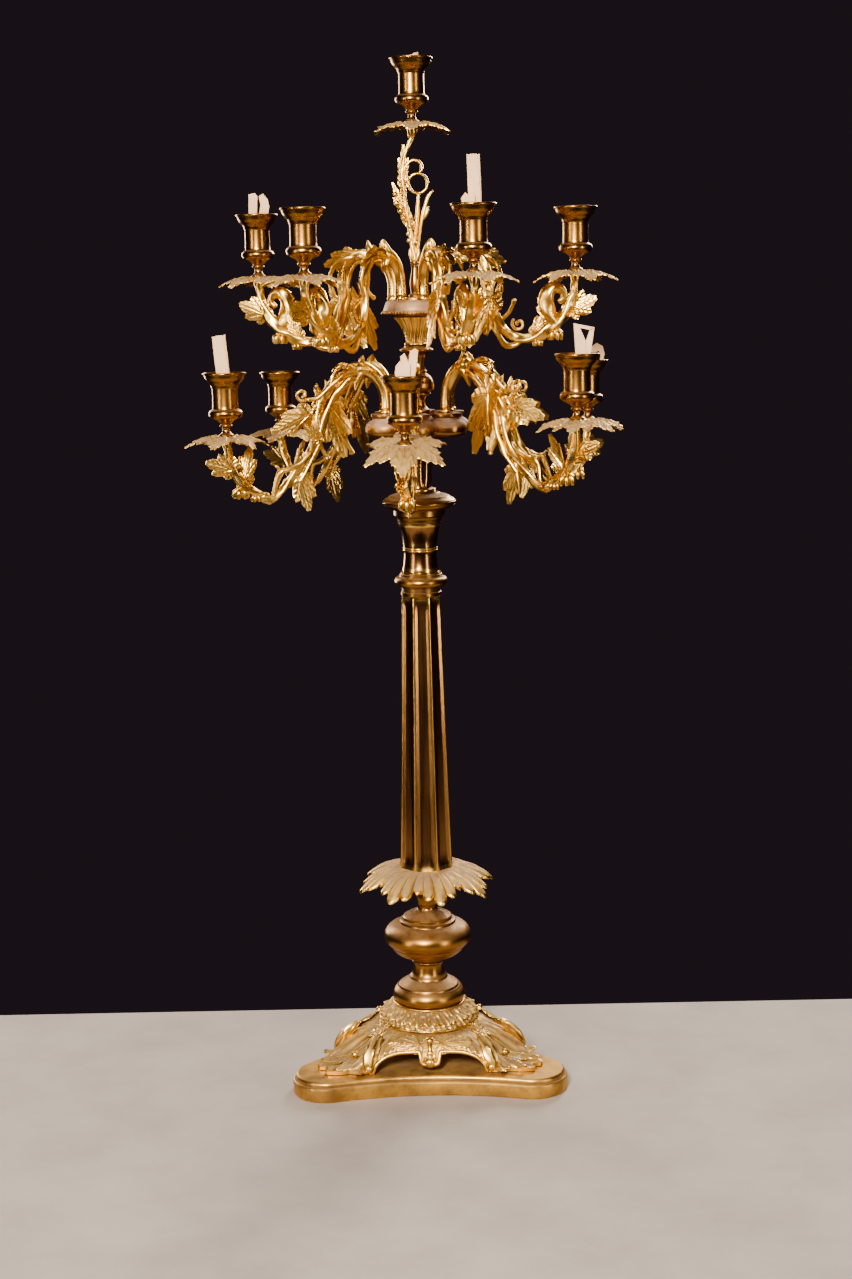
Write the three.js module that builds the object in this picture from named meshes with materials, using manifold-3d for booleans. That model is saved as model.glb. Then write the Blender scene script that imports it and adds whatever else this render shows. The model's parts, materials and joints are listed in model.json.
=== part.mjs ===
// A ten-light candelabrum of cast and turned brass, in millimetres, +Z up.
// The origin is the centre of the plinth's underside, and the front faces -Y.
// A tie rod clamps the turned stem together from the foot to the spindle. Nine vine arms stand in
// sockets on two hubs and swivel about them. Each arm carries a leaf-shaped drip pan and a candle cup.
// The back of both hubs is left free of arms, so that the piece can stand against a wall.
import * as THREE from "three";
import { ParametricGeometry } from "three/addons/geometries/ParametricGeometry.js";
import { mergeVertices } from "three/addons/utils/BufferGeometryUtils.js";
import Module from "manifold-3d";

const wasm = await Module();
wasm.setup();

// ---- driving dimensions ----
const GAP = 0.3; // between neighbouring pieces
const TURNED_SIDES = 16;
const SMALL_SIDES = 12;
const CUP_SIDES = 10;
const ROD = { radius: 3.5, base: 34, studRadius: 2, studLength: 12 };
const BORE = ROD.radius + GAP;
const WASHER = { radius: 12, base: 47.4 };
const NUT = { radius: 9.5, base: 40, sides: 6 };
const SCREW = { radius: 2, headRadius: 4.2, headHeight: 3, base: 10 };

const PLINTH = { height: 20, step: 5, inset: 3, lobeAt: 120.8, lobeRadius: 35, sideControl: 69 };
const FOOT = { top: 54, crown: 50, side: 72, reach: 129, wall: 3.5, padTop: 24, screwAt: 100, slices: 60 };
const ARCH = { from: 11, to: 57, apex: 40 };
const PENDANT_BOTTOM = 28;
const COLUMN = {
  base: 218.3, top: 499, baseRadius: 28.9, topRadius: 20.8, flutes: 8, perFlute: 4, wall: 3, hollow: 0.035,
};
const SPINDLE = { base: 794, top: 828 };
const LOWER_HUB = { base: 645, rim: 682, socketAt: 34.5, lobes: 6, lobeRadius: 20, turn: -5 };
const UPPER_HUB = { base: 775.3, top: 791, socketAt: 22, turn: -10 };
const PEG = { radius: 3.4, length: 10 };
const STUD = { radius: 2.2, length: 7 };
const CUP_HEIGHT = 61;
const CANDLE_RADIUS = 11;
const CUP_FLOOR = 27;
const PAN = { tip: 43, notch: 27, tipDrop: 12, notchDrop: 5, wall: 1.8, middle: 8, hole: STUD.radius + GAP };
const TOP_PAN = 959;

// The two patterns of arm, as radius from the stem and height. The route is the vine's centreline, from
// the rim of its socket to the seat under its drip pan. A leaf is a stalk, a tip and a width.
const LOWER_ARM = {
  panTop: 666,
  route: [
    [34.5, 682], [35, 704], [42, 719], [57, 725], [73, 721], [90, 706], [103, 691], [107, 668],
    [111, 648], [123, 632], [137, 615], [152, 603], [167, 610], [181, 623], [190, 642], [193, 656],
  ],
  leaves: [
    [[104, 692], [74, 636], 26],
    [[108, 676], [150, 684], 22],
    [[126, 630], [113, 592], 22],
    [[190, 640], [219, 646], 18],
    [[174, 620], [170, 656], 16],
  ],
  buds: [180, 612],
};
const UPPER_ARM = {
  panTop: 816,
  route: [
    [22, 791], [22.5, 812], [31, 828], [46, 836], [62, 832], [72, 816], [73, 797], [79, 776],
    [92, 758], [108, 752], [124, 757], [138, 766], [149, 780], [155, 796], [157, 806],
  ],
  leaves: [
    [[76, 792], [52, 744], 22],
    [[78, 800], [104, 804], 14],
    [[150, 782], [178, 784], 16],
  ],
  buds: [138, 756],
};

// At rest some arms stand turned in their sockets, in degrees from their even places. Two arms and one pan
// are bent from use: how much higher the arm's candle stands, and how steeply the pan slopes.
const SWIVEL = { lower_front: 2, lower_front_right: -6, lower_back_left: -8, lower_front_left: -9 };
const ARM_LIFT = { lower_front_right: 14, lower_back_left: -8 };
const PAN_SLOPE = { lower_front: 0.5 };

const degrees = (angle) => (angle * Math.PI) / 180;
const polar = (radius, angle, z = 0) =>
  new THREE.Vector3(radius * Math.cos(angle), radius * Math.sin(angle), z);
const vectors = (pairs) => pairs.map(([r, z]) => new THREE.Vector2(r, z));

// ---- materials ----
const metal = (color, roughness) => new THREE.MeshStandardMaterial({ color, roughness, metalness: 1 });
const MATERIALS = {
  turned: metal(0xa8712c, 0.28),
  cast: metal(0xd09a3a, 0.38),
  column: metal(0x9a6426, 0.3),
  dusty: metal(0x9c8268, 0.7),
  steel: metal(0x6f6a64, 0.5),
  paper: new THREE.MeshStandardMaterial({ color: 0xe3c8b8, roughness: 0.9 }),
};

// ---- solids ----
function solidOf(geometry) {
  const bare = geometry.clone();
  bare.deleteAttribute("normal");
  bare.deleteAttribute("uv");
  const merged = mergeVertices(bare, 1e-3);
  const triVerts = new Uint32Array(merged.index.array);
  return new wasm.Manifold(
    new wasm.Mesh({ numProp: 3, vertProperties: merged.attributes.position.array, triVerts }),
  );
}

function geometryOf(solid) {
  const mesh = solid.getMesh();
  const geometry = new THREE.BufferGeometry();
  geometry.setAttribute("position", new THREE.BufferAttribute(mesh.vertProperties, 3));
  geometry.setIndex(new THREE.BufferAttribute(mesh.triVerts, 1));
  return geometry;
}

const join = (...geometries) => geometryOf(geometries.map(solidOf).reduce((a, b) => a.add(b)));
const cut = (geometry, ...tools) =>
  geometryOf(tools.map(solidOf).reduce((a, b) => a.subtract(b), solidOf(geometry)));

// A round bar along Z from one height to another, at (x, y).
function bar(radius, from, to, x = 0, y = 0, sides = SMALL_SIDES) {
  return new THREE.CylinderGeometry(radius, radius, to - from, sides)
    .rotateX(Math.PI / 2)
    .translate(x, y, (from + to) / 2);
}

// A turned piece: the outline runs up the outside, and a bore goes through it. With no bore it is solid.
function turned(outline, bore = BORE, sides = TURNED_SIDES, roundSteps = 2) {
  const outside = outline.getPoints(roundSteps);
  const loop = [
    new THREE.Vector2(bore, outside[0].y),
    ...outside,
    new THREE.Vector2(bore, outside.at(-1).y),
  ];
  if (bore > 0) loop.push(loop[0].clone());
  return new THREE.LatheGeometry(loop, sides).rotateX(Math.PI / 2);
}

// How far an angle is from the nearest of a number of even divisions of the circle: 0 on it, 0.5 between two.
function phaseOf(angle, divisions) {
  const turns = (angle / (2 * Math.PI)) * divisions;
  return Math.abs(turns - Math.round(turns));
}

// A closed ring whose section is a clockwise loop of [radius, z] points that changes with the angle.
function ringOf(sectionAt, slices) {
  const count = sectionAt(0).length;
  const surface = (u, v, target) => {
    const angle = -u * 2 * Math.PI;
    const [radius, z] = sectionAt(angle)[Math.round(v * count) % count];
    target.copy(polar(radius, angle, z));
  };
  return new ParametricGeometry(surface, slices, count);
}

const outlineFrom = (r, z) => {
  const path = new THREE.Path();
  path.moveTo(r, z);
  return path;
};

const candelabrum = new THREE.Group();
function place(name, material, geometry, parent = candelabrum) {
  const mesh = new THREE.Mesh(geometry, material);
  mesh.name = name;
  parent.add(mesh);
  return mesh;
}

// ---- plinth and foot ----
const CORNERS = [210, 330, 90].map(degrees);

// The plinth in plan: three round lobes joined by hollow sides, drawn in by an inset.
function plinthShape(inset) {
  const lobe = PLINTH.lobeRadius - inset;
  const sweep = degrees(80);
  const shape = new THREE.Shape();
  CORNERS.forEach((corner, i) => {
    const centre = polar(PLINTH.lobeAt, corner);
    if (i) {
      const control = polar(PLINTH.sideControl - inset, corner - degrees(60));
      const start = polar(lobe, corner - sweep).add(centre);
      shape.quadraticCurveTo(control.x, control.y, start.x, start.y);
    }
    shape.absarc(centre.x, centre.y, lobe, corner - sweep, corner + sweep, false);
  });
  const control = polar(PLINTH.sideControl - inset, CORNERS[0] - degrees(60));
  const start = polar(lobe, CORNERS[0] - sweep).add(polar(PLINTH.lobeAt, CORNERS[0]));
  shape.quadraticCurveTo(control.x, control.y, start.x, start.y);
  return shape;
}

function slab(shape, from, to) {
  return new THREE.ExtrudeGeometry(shape, { depth: to - from, bevelEnabled: false, curveSegments: 6 })
    .translate(0, 0, from);
}

const screwHole = (corner, from, to) => {
  const at = polar(FOOT.screwAt, corner);
  return bar(SCREW.radius + GAP, from, to, at.x, at.y, 8);
};

function plinth() {
  const shoulder = PLINTH.height - PLINTH.step;
  const body = join(
    slab(plinthShape(0), 0, shoulder),
    slab(plinthShape(PLINTH.inset), shoulder - 1, PLINTH.height),
  );
  return cut(body, ...CORNERS.map((corner) => screwHole(corner, SCREW.base - 2, PLINTH.height + 1)));
}

// Height of the foot's lower edge at a distance along a side from its middle: a pendant in the middle,
// an arch on each side of it that comes straight down at its outer end, and then the pad of a corner.
function footEdge(along) {
  const low = PLINTH.height + GAP;
  if (along > ARCH.to) return low;
  if (along < ARCH.from) return PENDANT_BOTTOM;
  const share = (along - ARCH.from) / (ARCH.to - ARCH.from);
  return low + (ARCH.apex - low) * Math.sqrt(1 - share ** 4);
}

// The skirt's surface as radius and height at four levels, down the middle of a side and down a corner.
const SIDE_FALL = [[50, 54], [60, 49], [67, 40], [70, 28]];
const CORNER_FALL = [[50, 54], [70, 40], [94, 24], [FOOT.reach, FOOT.padTop]];
const mix = (a, b, share) => a + (b - a) * share;

function skirtPoint(share, fromSide) {
  const corner = THREE.MathUtils.smoothstep(fromSide, 0, degrees(60));
  const levels = SIDE_FALL.map(([r, z], i) => {
    const [cornerR, cornerZ] = CORNER_FALL[i];
    return [mix(r, cornerR, corner), mix(z, cornerZ, corner)];
  });
  levels[3][0] = Math.min(FOOT.side / Math.cos(fromSide), FOOT.reach);
  const step = Math.min(Math.floor(share * 3), 2);
  const rest = share * 3 - step;
  const [above, below] = [levels[step], levels[step + 1]];
  return [mix(above[0], below[0], rest), mix(above[1], below[1], rest)];
}

function footSection(angle) {
  const fromSide = degrees(60) - phaseOf(angle - CORNERS[2], 3) * degrees(120);
  const edge = footEdge(FOOT.side * Math.tan(fromSide));
  const lip = 2;
  let end = 1;
  while (skirtPoint(end, fromSide)[1] < edge + lip) end -= 0.02;
  const outside = [0, 0.33, 0.66, 1].map((share) => skirtPoint(share * end, fromSide));
  const inside = outside.map(([r, z]) => [
    r - FOOT.wall,
    THREE.MathUtils.clamp(z - FOOT.wall, edge, FOOT.crown),
  ]);
  return [[BORE, FOOT.top], ...outside, [outside[3][0], edge], ...inside.reverse(), [BORE, FOOT.crown]];
}

function foot() {
  return cut(
    ringOf(footSection, FOOT.slices),
    ...CORNERS.map((corner) => screwHole(corner, PLINTH.height - 2, FOOT.padTop + 6)),
  );
}

function footScrew() {
  const head = bar(SCREW.headRadius, FOOT.padTop + 2 * GAP, FOOT.padTop + SCREW.headHeight, 0, 0, 8);
  return join(head, bar(SCREW.radius, SCREW.base, FOOT.padTop + 1, 0, 0, 8));
}

place("base_plate", MATERIALS.cast, plinth());
place("tripod_foot", MATERIALS.cast, foot());
CORNERS.forEach((corner, i) => {
  place(`foot_screw_${i + 1}`, MATERIALS.steel, footScrew()).position.copy(polar(FOOT.screwAt, corner));
});

// ---- the turned stem, from the foot up ----
function footDome() {
  const outline = outlineFrom(51.5, FOOT.top + GAP);
  outline.lineTo(51.5, 57);
  outline.quadraticCurveTo(49, 67, 38, 72.5);
  outline.lineTo(37, 74);
  return outline;
}

function stemBun() {
  const outline = outlineFrom(35.5, 74 + GAP);
  outline.lineTo(36, 78);
  outline.quadraticCurveTo(38, 86, 31.5, 90.5);
  outline.lineTo(30, 91);
  outline.quadraticCurveTo(27, 96.5, 19.5, 98);
  outline.lineTo(18.5, 101);
  outline.quadraticCurveTo(14, 108, 16.5, 116);
  outline.lineTo(17.7, 118);
  return outline;
}

function stemKnop() {
  const outline = outlineFrom(17.7, 118 + GAP);
  outline.quadraticCurveTo(29, 119, 36, 126);
  outline.lineTo(40, 134);
  outline.quadraticCurveTo(49, 143, 41, 152);
  outline.quadraticCurveTo(37, 157, 28.5, 158.5);
  outline.lineTo(28, 161);
  outline.lineTo(25, 163);
  outline.lineTo(24.5, 165.5);
  outline.quadraticCurveTo(21, 170, 12, 172);
  outline.quadraticCurveTo(8, 179, 12, 186);
  outline.lineTo(16, 190);
  return outline;
}

// The octagonal column tapers, and each of its faces is slightly hollow.
function column() {
  const section = (angle) => {
    const phase = phaseOf(angle, COLUMN.flutes);
    const toCorner = 0.5 - phase;
    const flat = Math.cos(Math.PI / COLUMN.flutes) / Math.cos((phase * 2 * Math.PI) / COLUMN.flutes);
    const hollow = COLUMN.hollow * Math.min(1, toCorner * 3);
    const factor = flat - hollow;
    const inside = (radius) => radius * 0.9 - COLUMN.wall;
    return [
      [inside(COLUMN.baseRadius), COLUMN.base],
      [inside(COLUMN.topRadius), COLUMN.top],
      [COLUMN.topRadius * factor, COLUMN.top],
      [COLUMN.baseRadius * factor, COLUMN.base],
    ];
  };
  return ringOf(section, COLUMN.flutes * COLUMN.perFlute);
}

function columnCollar() {
  const outline = outlineFrom(20, COLUMN.top + GAP);
  outline.lineTo(20.5, 503);
  outline.quadraticCurveTo(19.5, 508, 23, 509.5);
  outline.quadraticCurveTo(26.8, 515, 23, 519.5);
  outline.lineTo(21.5, 520);
  outline.lineTo(21, 523);
  return outline;
}

function bellNeck() {
  const outline = outlineFrom(18.6, 523 + GAP);
  outline.quadraticCurveTo(16.6, 534, 17, 546);
  outline.lineTo(17.8, 547.5);
  outline.quadraticCurveTo(18, 563, 21.5, 573);
  return outline;
}

function crownMoulding() {
  const outline = outlineFrom(22, 573 + GAP);
  outline.quadraticCurveTo(23, 579, 26, 580);
  outline.lineTo(26, 586);
  outline.quadraticCurveTo(35, 587, 36.3, 592);
  outline.lineTo(36, 596);
  outline.quadraticCurveTo(34, 602, 20, 603);
  return outline;
}

function vaseStem() {
  const outline = outlineFrom(17, 603 + GAP);
  outline.quadraticCurveTo(12, 610, 12.5, 620);
  outline.quadraticCurveTo(12.5, 634, 15.5, 645);
  return outline;
}

function pearKnop() {
  const outline = outlineFrom(13, 682 + GAP);
  outline.quadraticCurveTo(8.5, 685, 8, 692);
  outline.quadraticCurveTo(9, 700, 15.5, 703);
  outline.quadraticCurveTo(21, 711, 11, 719);
  outline.lineTo(9.5, 722);
  outline.lineTo(9, 726);
  return outline;
}

function saucerNeck() {
  const outline = outlineFrom(7, 726 + GAP);
  outline.quadraticCurveTo(8, 737, 15, 741);
  outline.lineTo(16.5, 743);
  outline.lineTo(16.5, 745);
  outline.lineTo(12, 747);
  return outline;
}

// A cup of upright leaves: the wall waves in and out between the leaves, more so at the top.
function leafCapital() {
  const leaves = 8;
  const levels = [[11.5, 747.3], [10, 750], [11, 757], [14, 766], [19, 774], [18, 775]];
  const section = (angle) => {
    const wave = Math.cos(angle * leaves);
    const outside = levels.map(([r, z], i) => [r + 0.25 * i * wave, z]);
    return [[BORE, 747.3], [BORE, 775], ...outside.reverse()];
  };
  return ringOf(section, leaves * 2);
}

place("foot_dome", MATERIALS.cast, turned(footDome()));
place("stem_bun", MATERIALS.turned, turned(stemBun()));
place("stem_knop", MATERIALS.turned, turned(stemKnop()));
place("column", MATERIALS.column, column());
place("column_collar", MATERIALS.turned, turned(columnCollar()));
place("bell_neck", MATERIALS.turned, turned(bellNeck()));
place("crown_moulding", MATERIALS.turned, turned(crownMoulding()));
place("vase_stem", MATERIALS.turned, turned(vaseStem()));
place("pear_knop", MATERIALS.turned, turned(pearKnop(), BORE, SMALL_SIDES));
place("saucer_neck", MATERIALS.turned, turned(saucerNeck(), BORE, SMALL_SIDES));
place("leaf_capital", MATERIALS.cast, leafCapital());

// A drooping collar of pointed leaves at the foot of the column. It stands on the knop's neck.
function leafCollar() {
  const leaves = 8;
  const section = (angle) => {
    const phase = phaseOf(angle, leaves) * 2;
    const tip = 71 - 9 * phase;
    const drop = 195 + 4 * phase;
    return [
      [BORE, 214], [29, 218], [52, 211], [tip, drop], [tip - 2, drop - 1], [50, 207], [30, 212],
      [17, 205], [17, 190.3], [BORE, 190.3],
    ];
  };
  return ringOf(section, leaves * 4);
}
place("leaf_collar", MATERIALS.cast, leafCollar());

// ---- hubs ----
// The arms' azimuths in degrees from +X, before their hub's turn. The front is at -90.
const LOWER_ARMS = { front: -90, front_right: -30, back_right: 30, back_left: 150, front_left: 210 };
const UPPER_ARMS = { right: 0, front_right: -60, front_left: -120, left: 180 };

function lowerHub() {
  const { base, rim, socketAt, lobeRadius, turn } = LOWER_HUB;
  const frontLobe = LOWER_ARMS.front + turn;
  const body = outlineFrom(15.5, base + GAP);
  body.quadraticCurveTo(18, 655, 34, 660);
  body.lineTo(40, 663);
  body.lineTo(34, 674);
  body.lineTo(14, 678);
  body.lineTo(13, rim);
  const lobe = outlineFrom(13, 659);
  lobe.lineTo(lobeRadius, 665);
  lobe.quadraticCurveTo(19, 673, 14, 677);
  lobe.lineTo(14, rim);
  const lobes = Array.from({ length: LOWER_HUB.lobes }, (_, i) => {
    const at = polar(socketAt, degrees(frontLobe + (360 / LOWER_HUB.lobes) * i));
    return turned(lobe, 0, CUP_SIDES).translate(at.x, at.y, 0);
  });
  const sockets = Object.values(LOWER_ARMS).map((azimuth) => {
    const at = polar(socketAt, degrees(azimuth + turn));
    return bar(PEG.radius + GAP, rim - PEG.length - 1, rim + 1, at.x, at.y, 8);
  });
  const bore = bar(BORE, base - 1, rim + 1);
  return cut(join(turned(body, 0), ...lobes), bore, ...sockets);
}

function upperHub() {
  const { base, top, socketAt, turn } = UPPER_HUB;
  const outline = outlineFrom(19, base);
  outline.quadraticCurveTo(26, 775.5, 33, 778);
  outline.lineTo(33, 780.5);
  outline.quadraticCurveTo(31, 786, 28.5, top);
  outline.lineTo(13, top);
  outline.lineTo(12, 793.7);
  const sockets = Object.values(UPPER_ARMS).map((azimuth) => {
    const at = polar(socketAt, degrees(azimuth + turn));
    return bar(PEG.radius + GAP, top - PEG.length - 1, top + 1, at.x, at.y, 8);
  });
  return cut(turned(outline), ...sockets);
}

place("lower_hub", MATERIALS.cast, lowerHub());
place("upper_hub", MATERIALS.dusty, upperHub());

// ---- the tie rod, and its nut under the foot's crown ----
// The rod ends in a thinner stud, which screws into the spindle.
function tieRod() {
  const outline = outlineFrom(ROD.radius, ROD.base);
  outline.lineTo(ROD.radius, SPINDLE.base - 1);
  outline.lineTo(ROD.studRadius, SPINDLE.base - 1);
  outline.lineTo(ROD.studRadius, SPINDLE.base + ROD.studLength);
  return turned(outline, 0, SMALL_SIDES);
}

function rodWasher() {
  return cut(bar(WASHER.radius, WASHER.base, FOOT.crown - GAP), bar(BORE, NUT.base, FOOT.top));
}

function rodNut() {
  const body = bar(NUT.radius, NUT.base, WASHER.base - GAP, 0, 0, NUT.sides);
  return cut(body, bar(BORE, NUT.base - 1, FOOT.top));
}

place("tie_rod", MATERIALS.steel, tieRod());
place("tie_rod_washer", MATERIALS.steel, rodWasher());
place("tie_rod_nut", MATERIALS.steel, rodNut());

// ---- spindle and spray ----
function spindle() {
  const outline = outlineFrom(6.5, SPINDLE.base);
  outline.lineTo(6.5, 797);
  outline.lineTo(4.4, 799);
  outline.quadraticCurveTo(6, 810, 3.2, 824);
  outline.lineTo(4, 826);
  outline.lineTo(3.6, SPINDLE.top);
  const hole = bar(ROD.studRadius + GAP, SPINDLE.base - 1, SPINDLE.base + ROD.studLength + 1, 0, 0, 8);
  return cut(turned(outline, 0, SMALL_SIDES), hole);
}

// A tube along a smooth line through [x, z] points in the plane y = 0.
function tube(points, radius, steps, sides = 5) {
  const line = new THREE.CatmullRomCurve3(points.map(([x, z]) => new THREE.Vector3(x, 0, z)));
  const round = new THREE.Shape(
    Array.from({ length: sides }, (_, i) => {
      const angle = ((i + 0.5) / sides) * 2 * Math.PI;
      return new THREE.Vector2(radius * Math.cos(angle), radius * Math.sin(angle));
    }),
  );
  return new THREE.ExtrudeGeometry(round, { extrudePath: line, steps, bevelEnabled: false });
}

const BOSS = { radius: 5, height: 9 };
// The round seat under a drip pan, with a hole for the cup's stud.
function seat(x, top) {
  const boss = bar(BOSS.radius, top - BOSS.height, top, x, 0, 8);
  const hole = bar(STUD.radius + GAP, top - STUD.length, top + 1, x, 0, 8);
  return [boss, hole];
}

const SPRAY_LOOP = { x: 4, z: 904, radius: 9 };
function spray() {
  const panSeat = TOP_PAN - PAN.wall - 2 * GAP;
  const rise = [[0, 829], [-3, 862], [-6, 886], [-8, 905], [-6, 926], [-1, 942], [0, panSeat - 6]];
  const stem = tube(rise, 3, 10);
  const leftLeaf = tube([[-3, 858], [-12, 876], [-21, 900]], 2.6, 3);
  const rightLeaf = tube([[-1, 845], [9, 868], [18, 893]], 2.6, 3);
  const loop = new THREE.TorusGeometry(SPRAY_LOOP.radius, 1.8, 5, 10)
    .rotateX(Math.PI / 2)
    .translate(SPRAY_LOOP.x, 0, SPRAY_LOOP.z);
  const [boss, hole] = seat(0, panSeat);
  const foot = bar(3.6, SPINDLE.top + GAP, SPINDLE.top + 6, 0, 0, 8);
  return cut(join(foot, stem, leftLeaf, rightLeaf, loop, boss), hole);
}
place("spindle", MATERIALS.turned, spindle());
place("foliate_spray", MATERIALS.cast, spray());

// ---- drip pan and candle cup, with the top of the pan's middle at z = 0 ----
// A bent pan slopes down towards +X outside its level middle.
function dripPan(slope) {
  const lobes = 6;
  const section = (angle) => {
    const phase = phaseOf(angle, lobes) * 2;
    const rim = PAN.tip + (PAN.notch - PAN.tip) * phase ** 0.8;
    const drop = PAN.tipDrop + (PAN.notchDrop - PAN.tipDrop) * phase;
    const half = rim * 0.6;
    const fall = (r) => slope * (r - PAN.middle) * Math.cos(angle);
    const upper = [
      [PAN.hole, 0], [PAN.middle, 0], [half, -drop * 0.25 - fall(half)], [rim, -drop - fall(rim)],
    ];
    const walls = [PAN.wall, PAN.wall, PAN.wall, PAN.wall * 0.6];
    const lower = upper.map(([r, z], i) => [r, z - walls[i]]);
    return [...upper, ...lower.reverse()];
  };
  return ringOf(section, lobes * 2);
}

function candleCup() {
  const knob = CUP_FLOOR - 4;
  const outline = outlineFrom(STUD.radius, -STUD.length - PAN.wall + 1);
  outline.lineTo(STUD.radius, GAP);
  outline.lineTo(6.8, GAP);
  outline.lineTo(3.7, 5);
  outline.lineTo(6.5, 9.5);
  outline.quadraticCurveTo(16, 13, 16.3, knob);
  outline.lineTo(12.8, knob + 3);
  outline.lineTo(12.4, 46);
  outline.quadraticCurveTo(14, 51, 20.6, CUP_HEIGHT - 2);
  outline.lineTo(20.6, CUP_HEIGHT);
  outline.lineTo(19.4, CUP_HEIGHT);
  outline.lineTo(CANDLE_RADIUS, 49);
  outline.lineTo(CANDLE_RADIUS, CUP_FLOOR);
  return turned(outline, 0, CUP_SIDES);
}

// ---- folded paper packing that stands in some of the cups, in the back half of the candle's socket ----
const PAPER = { thickness: 3, back: 6.2 };
function paperStrip({ width, rise, lean }) {
  const height = rise + CUP_HEIGHT - CUP_FLOOR;
  return new THREE.BoxGeometry(width, PAPER.thickness, height)
    .translate(0, PAPER.back - PAPER.thickness / 2, height / 2)
    .rotateY(degrees(lean))
    .translate(0, 0, CUP_FLOOR + 1);
}

function candlePlace(name, radius, top, parent, paper, panSlope = 0) {
  const pan = place(`${name}_drip_pan`, MATERIALS.cast, dripPan(panSlope), parent);
  pan.position.set(radius, 0, top);
  const cup = place(`${name}_cup`, MATERIALS.turned, candleCup(), parent);
  cup.position.set(radius, 0, top);
  if (!paper) return;
  const strip = place(`${name}_paper`, MATERIALS.paper, paperStrip(paper), parent);
  strip.position.set(radius, 0, top);
  strip.rotation.z = -parent.rotation.z;
}

// ---- arms ----
// A flat leaf in the arm's plane, from its stalk to its tip, pointed and widest a third of the way along.
function leaf([stalk, tip, width]) {
  const from = new THREE.Vector2(...stalk);
  const along = new THREE.Vector2(...tip).sub(from);
  const across = new THREE.Vector2(-along.y, along.x).normalize();
  const outline = [[0, 0], [0.35, 0.5], [1, 0], [0.35, -0.5]];
  const shape = new THREE.Shape(
    outline.map(([t, s]) => from.clone().addScaledVector(along, t).addScaledVector(across, s * width)),
  );
  const thickness = 3;
  // The shape's second coordinate is the height, so the extrusion turns up from the floor.
  return new THREE.ExtrudeGeometry(shape, { depth: thickness, bevelEnabled: false })
    .rotateX(Math.PI / 2)
    .translate(0, thickness / 2, 0);
}

const VINE_RADIUS = 5.4;
const BUD_RADIUS = 8;

// An arm's pattern as it is bent in use: raised in proportion to the distance from its socket.
function bent({ route, leaves, buds, panTop }, lift) {
  const socketAt = route[0][0];
  const reach = route.at(-1)[0];
  const raised = ([r, z]) => [r, z + (lift * (r - socketAt)) / (reach - socketAt)];
  return {
    panTop: panTop + lift,
    route: route.map(raised),
    leaves: leaves.map(([stalk, tip, width]) => [raised(stalk), raised(tip), width]),
    buds: raised(buds),
  };
}

function arm({ route, leaves, buds, panTop }) {
  const [socketAt, rim] = route[0];
  const reach = route.at(-1)[0];
  const seatTop = panTop - PAN.wall - GAP;
  const vine = tube([[socketAt, rim + 2], ...route.slice(1)], VINE_RADIUS, route.length - 2);
  const flange = bar(6.2, rim + GAP, rim + 3, socketAt, 0, 8);
  const peg = bar(PEG.radius, rim - PEG.length, rim + 1, socketAt, 0, 8);
  const cluster = new THREE.IcosahedronGeometry(BUD_RADIUS, 0).translate(buds[0], 0, buds[1]);
  const [boss, hole] = seat(reach, seatTop);
  return cut(join(vine, flange, peg, cluster, boss, ...leaves.map(leaf)), hole);
}

function tier(level, arms, turn, pattern, papers) {
  for (const [side, azimuth] of Object.entries(arms)) {
    const name = `${level}_${side}`;
    const made = bent(pattern, ARM_LIFT[name] ?? 0);
    const socketAt = made.route[0][0];
    const even = degrees(azimuth + turn);
    const facing = even + degrees(SWIVEL[name] ?? 0);
    const group = new THREE.Group();
    group.rotation.z = facing;
    group.position.copy(polar(socketAt, even).sub(polar(socketAt, facing)));
    candelabrum.add(group);
    place(`${name}_arm`, MATERIALS.cast, arm(made), group);
    candlePlace(name, made.route.at(-1)[0], made.panTop, group, papers[side], PAN_SLOPE[name]);
  }
}

tier("lower", LOWER_ARMS, LOWER_HUB.turn, LOWER_ARM, {
  front: { width: 12, rise: 18, lean: 2 },
  front_right: { width: 12, rise: 26, lean: 0 },
  back_right: { width: 11, rise: 16, lean: 3 },
  front_left: { width: 13, rise: 34, lean: -2 },
});
tier("upper", UPPER_ARMS, UPPER_HUB.turn, UPPER_ARM, {
  front_right: { width: 12, rise: 42, lean: -2 },
  left: { width: 12, rise: 20, lean: 1 },
});
candlePlace("top", 0, TOP_PAN, candelabrum, { width: 9, rise: 4, lean: 2 });

export default candelabrum;
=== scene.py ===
"""A ten-light candelabrum of cast and turned brass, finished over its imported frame.

The frame is in metres. Outlines and patterns are in millimetres, and finish_piece scales them by MM.
An arm's pattern is drawn in the arm's own plane, as distance from the stem, sideways and height.
"""

import json
import math

import bpy
import numpy as np
from mathutils import Matrix, Vector


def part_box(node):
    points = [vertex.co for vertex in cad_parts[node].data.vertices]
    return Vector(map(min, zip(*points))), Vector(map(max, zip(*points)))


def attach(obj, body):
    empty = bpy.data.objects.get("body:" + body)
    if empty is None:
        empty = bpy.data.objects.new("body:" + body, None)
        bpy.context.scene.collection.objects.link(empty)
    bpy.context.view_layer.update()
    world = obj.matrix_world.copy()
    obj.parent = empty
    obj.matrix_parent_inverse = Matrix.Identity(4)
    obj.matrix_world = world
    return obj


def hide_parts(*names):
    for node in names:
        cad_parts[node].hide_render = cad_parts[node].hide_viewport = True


MM = 0.001
TURN = 2 * math.pi
STAND = "stand"

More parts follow.
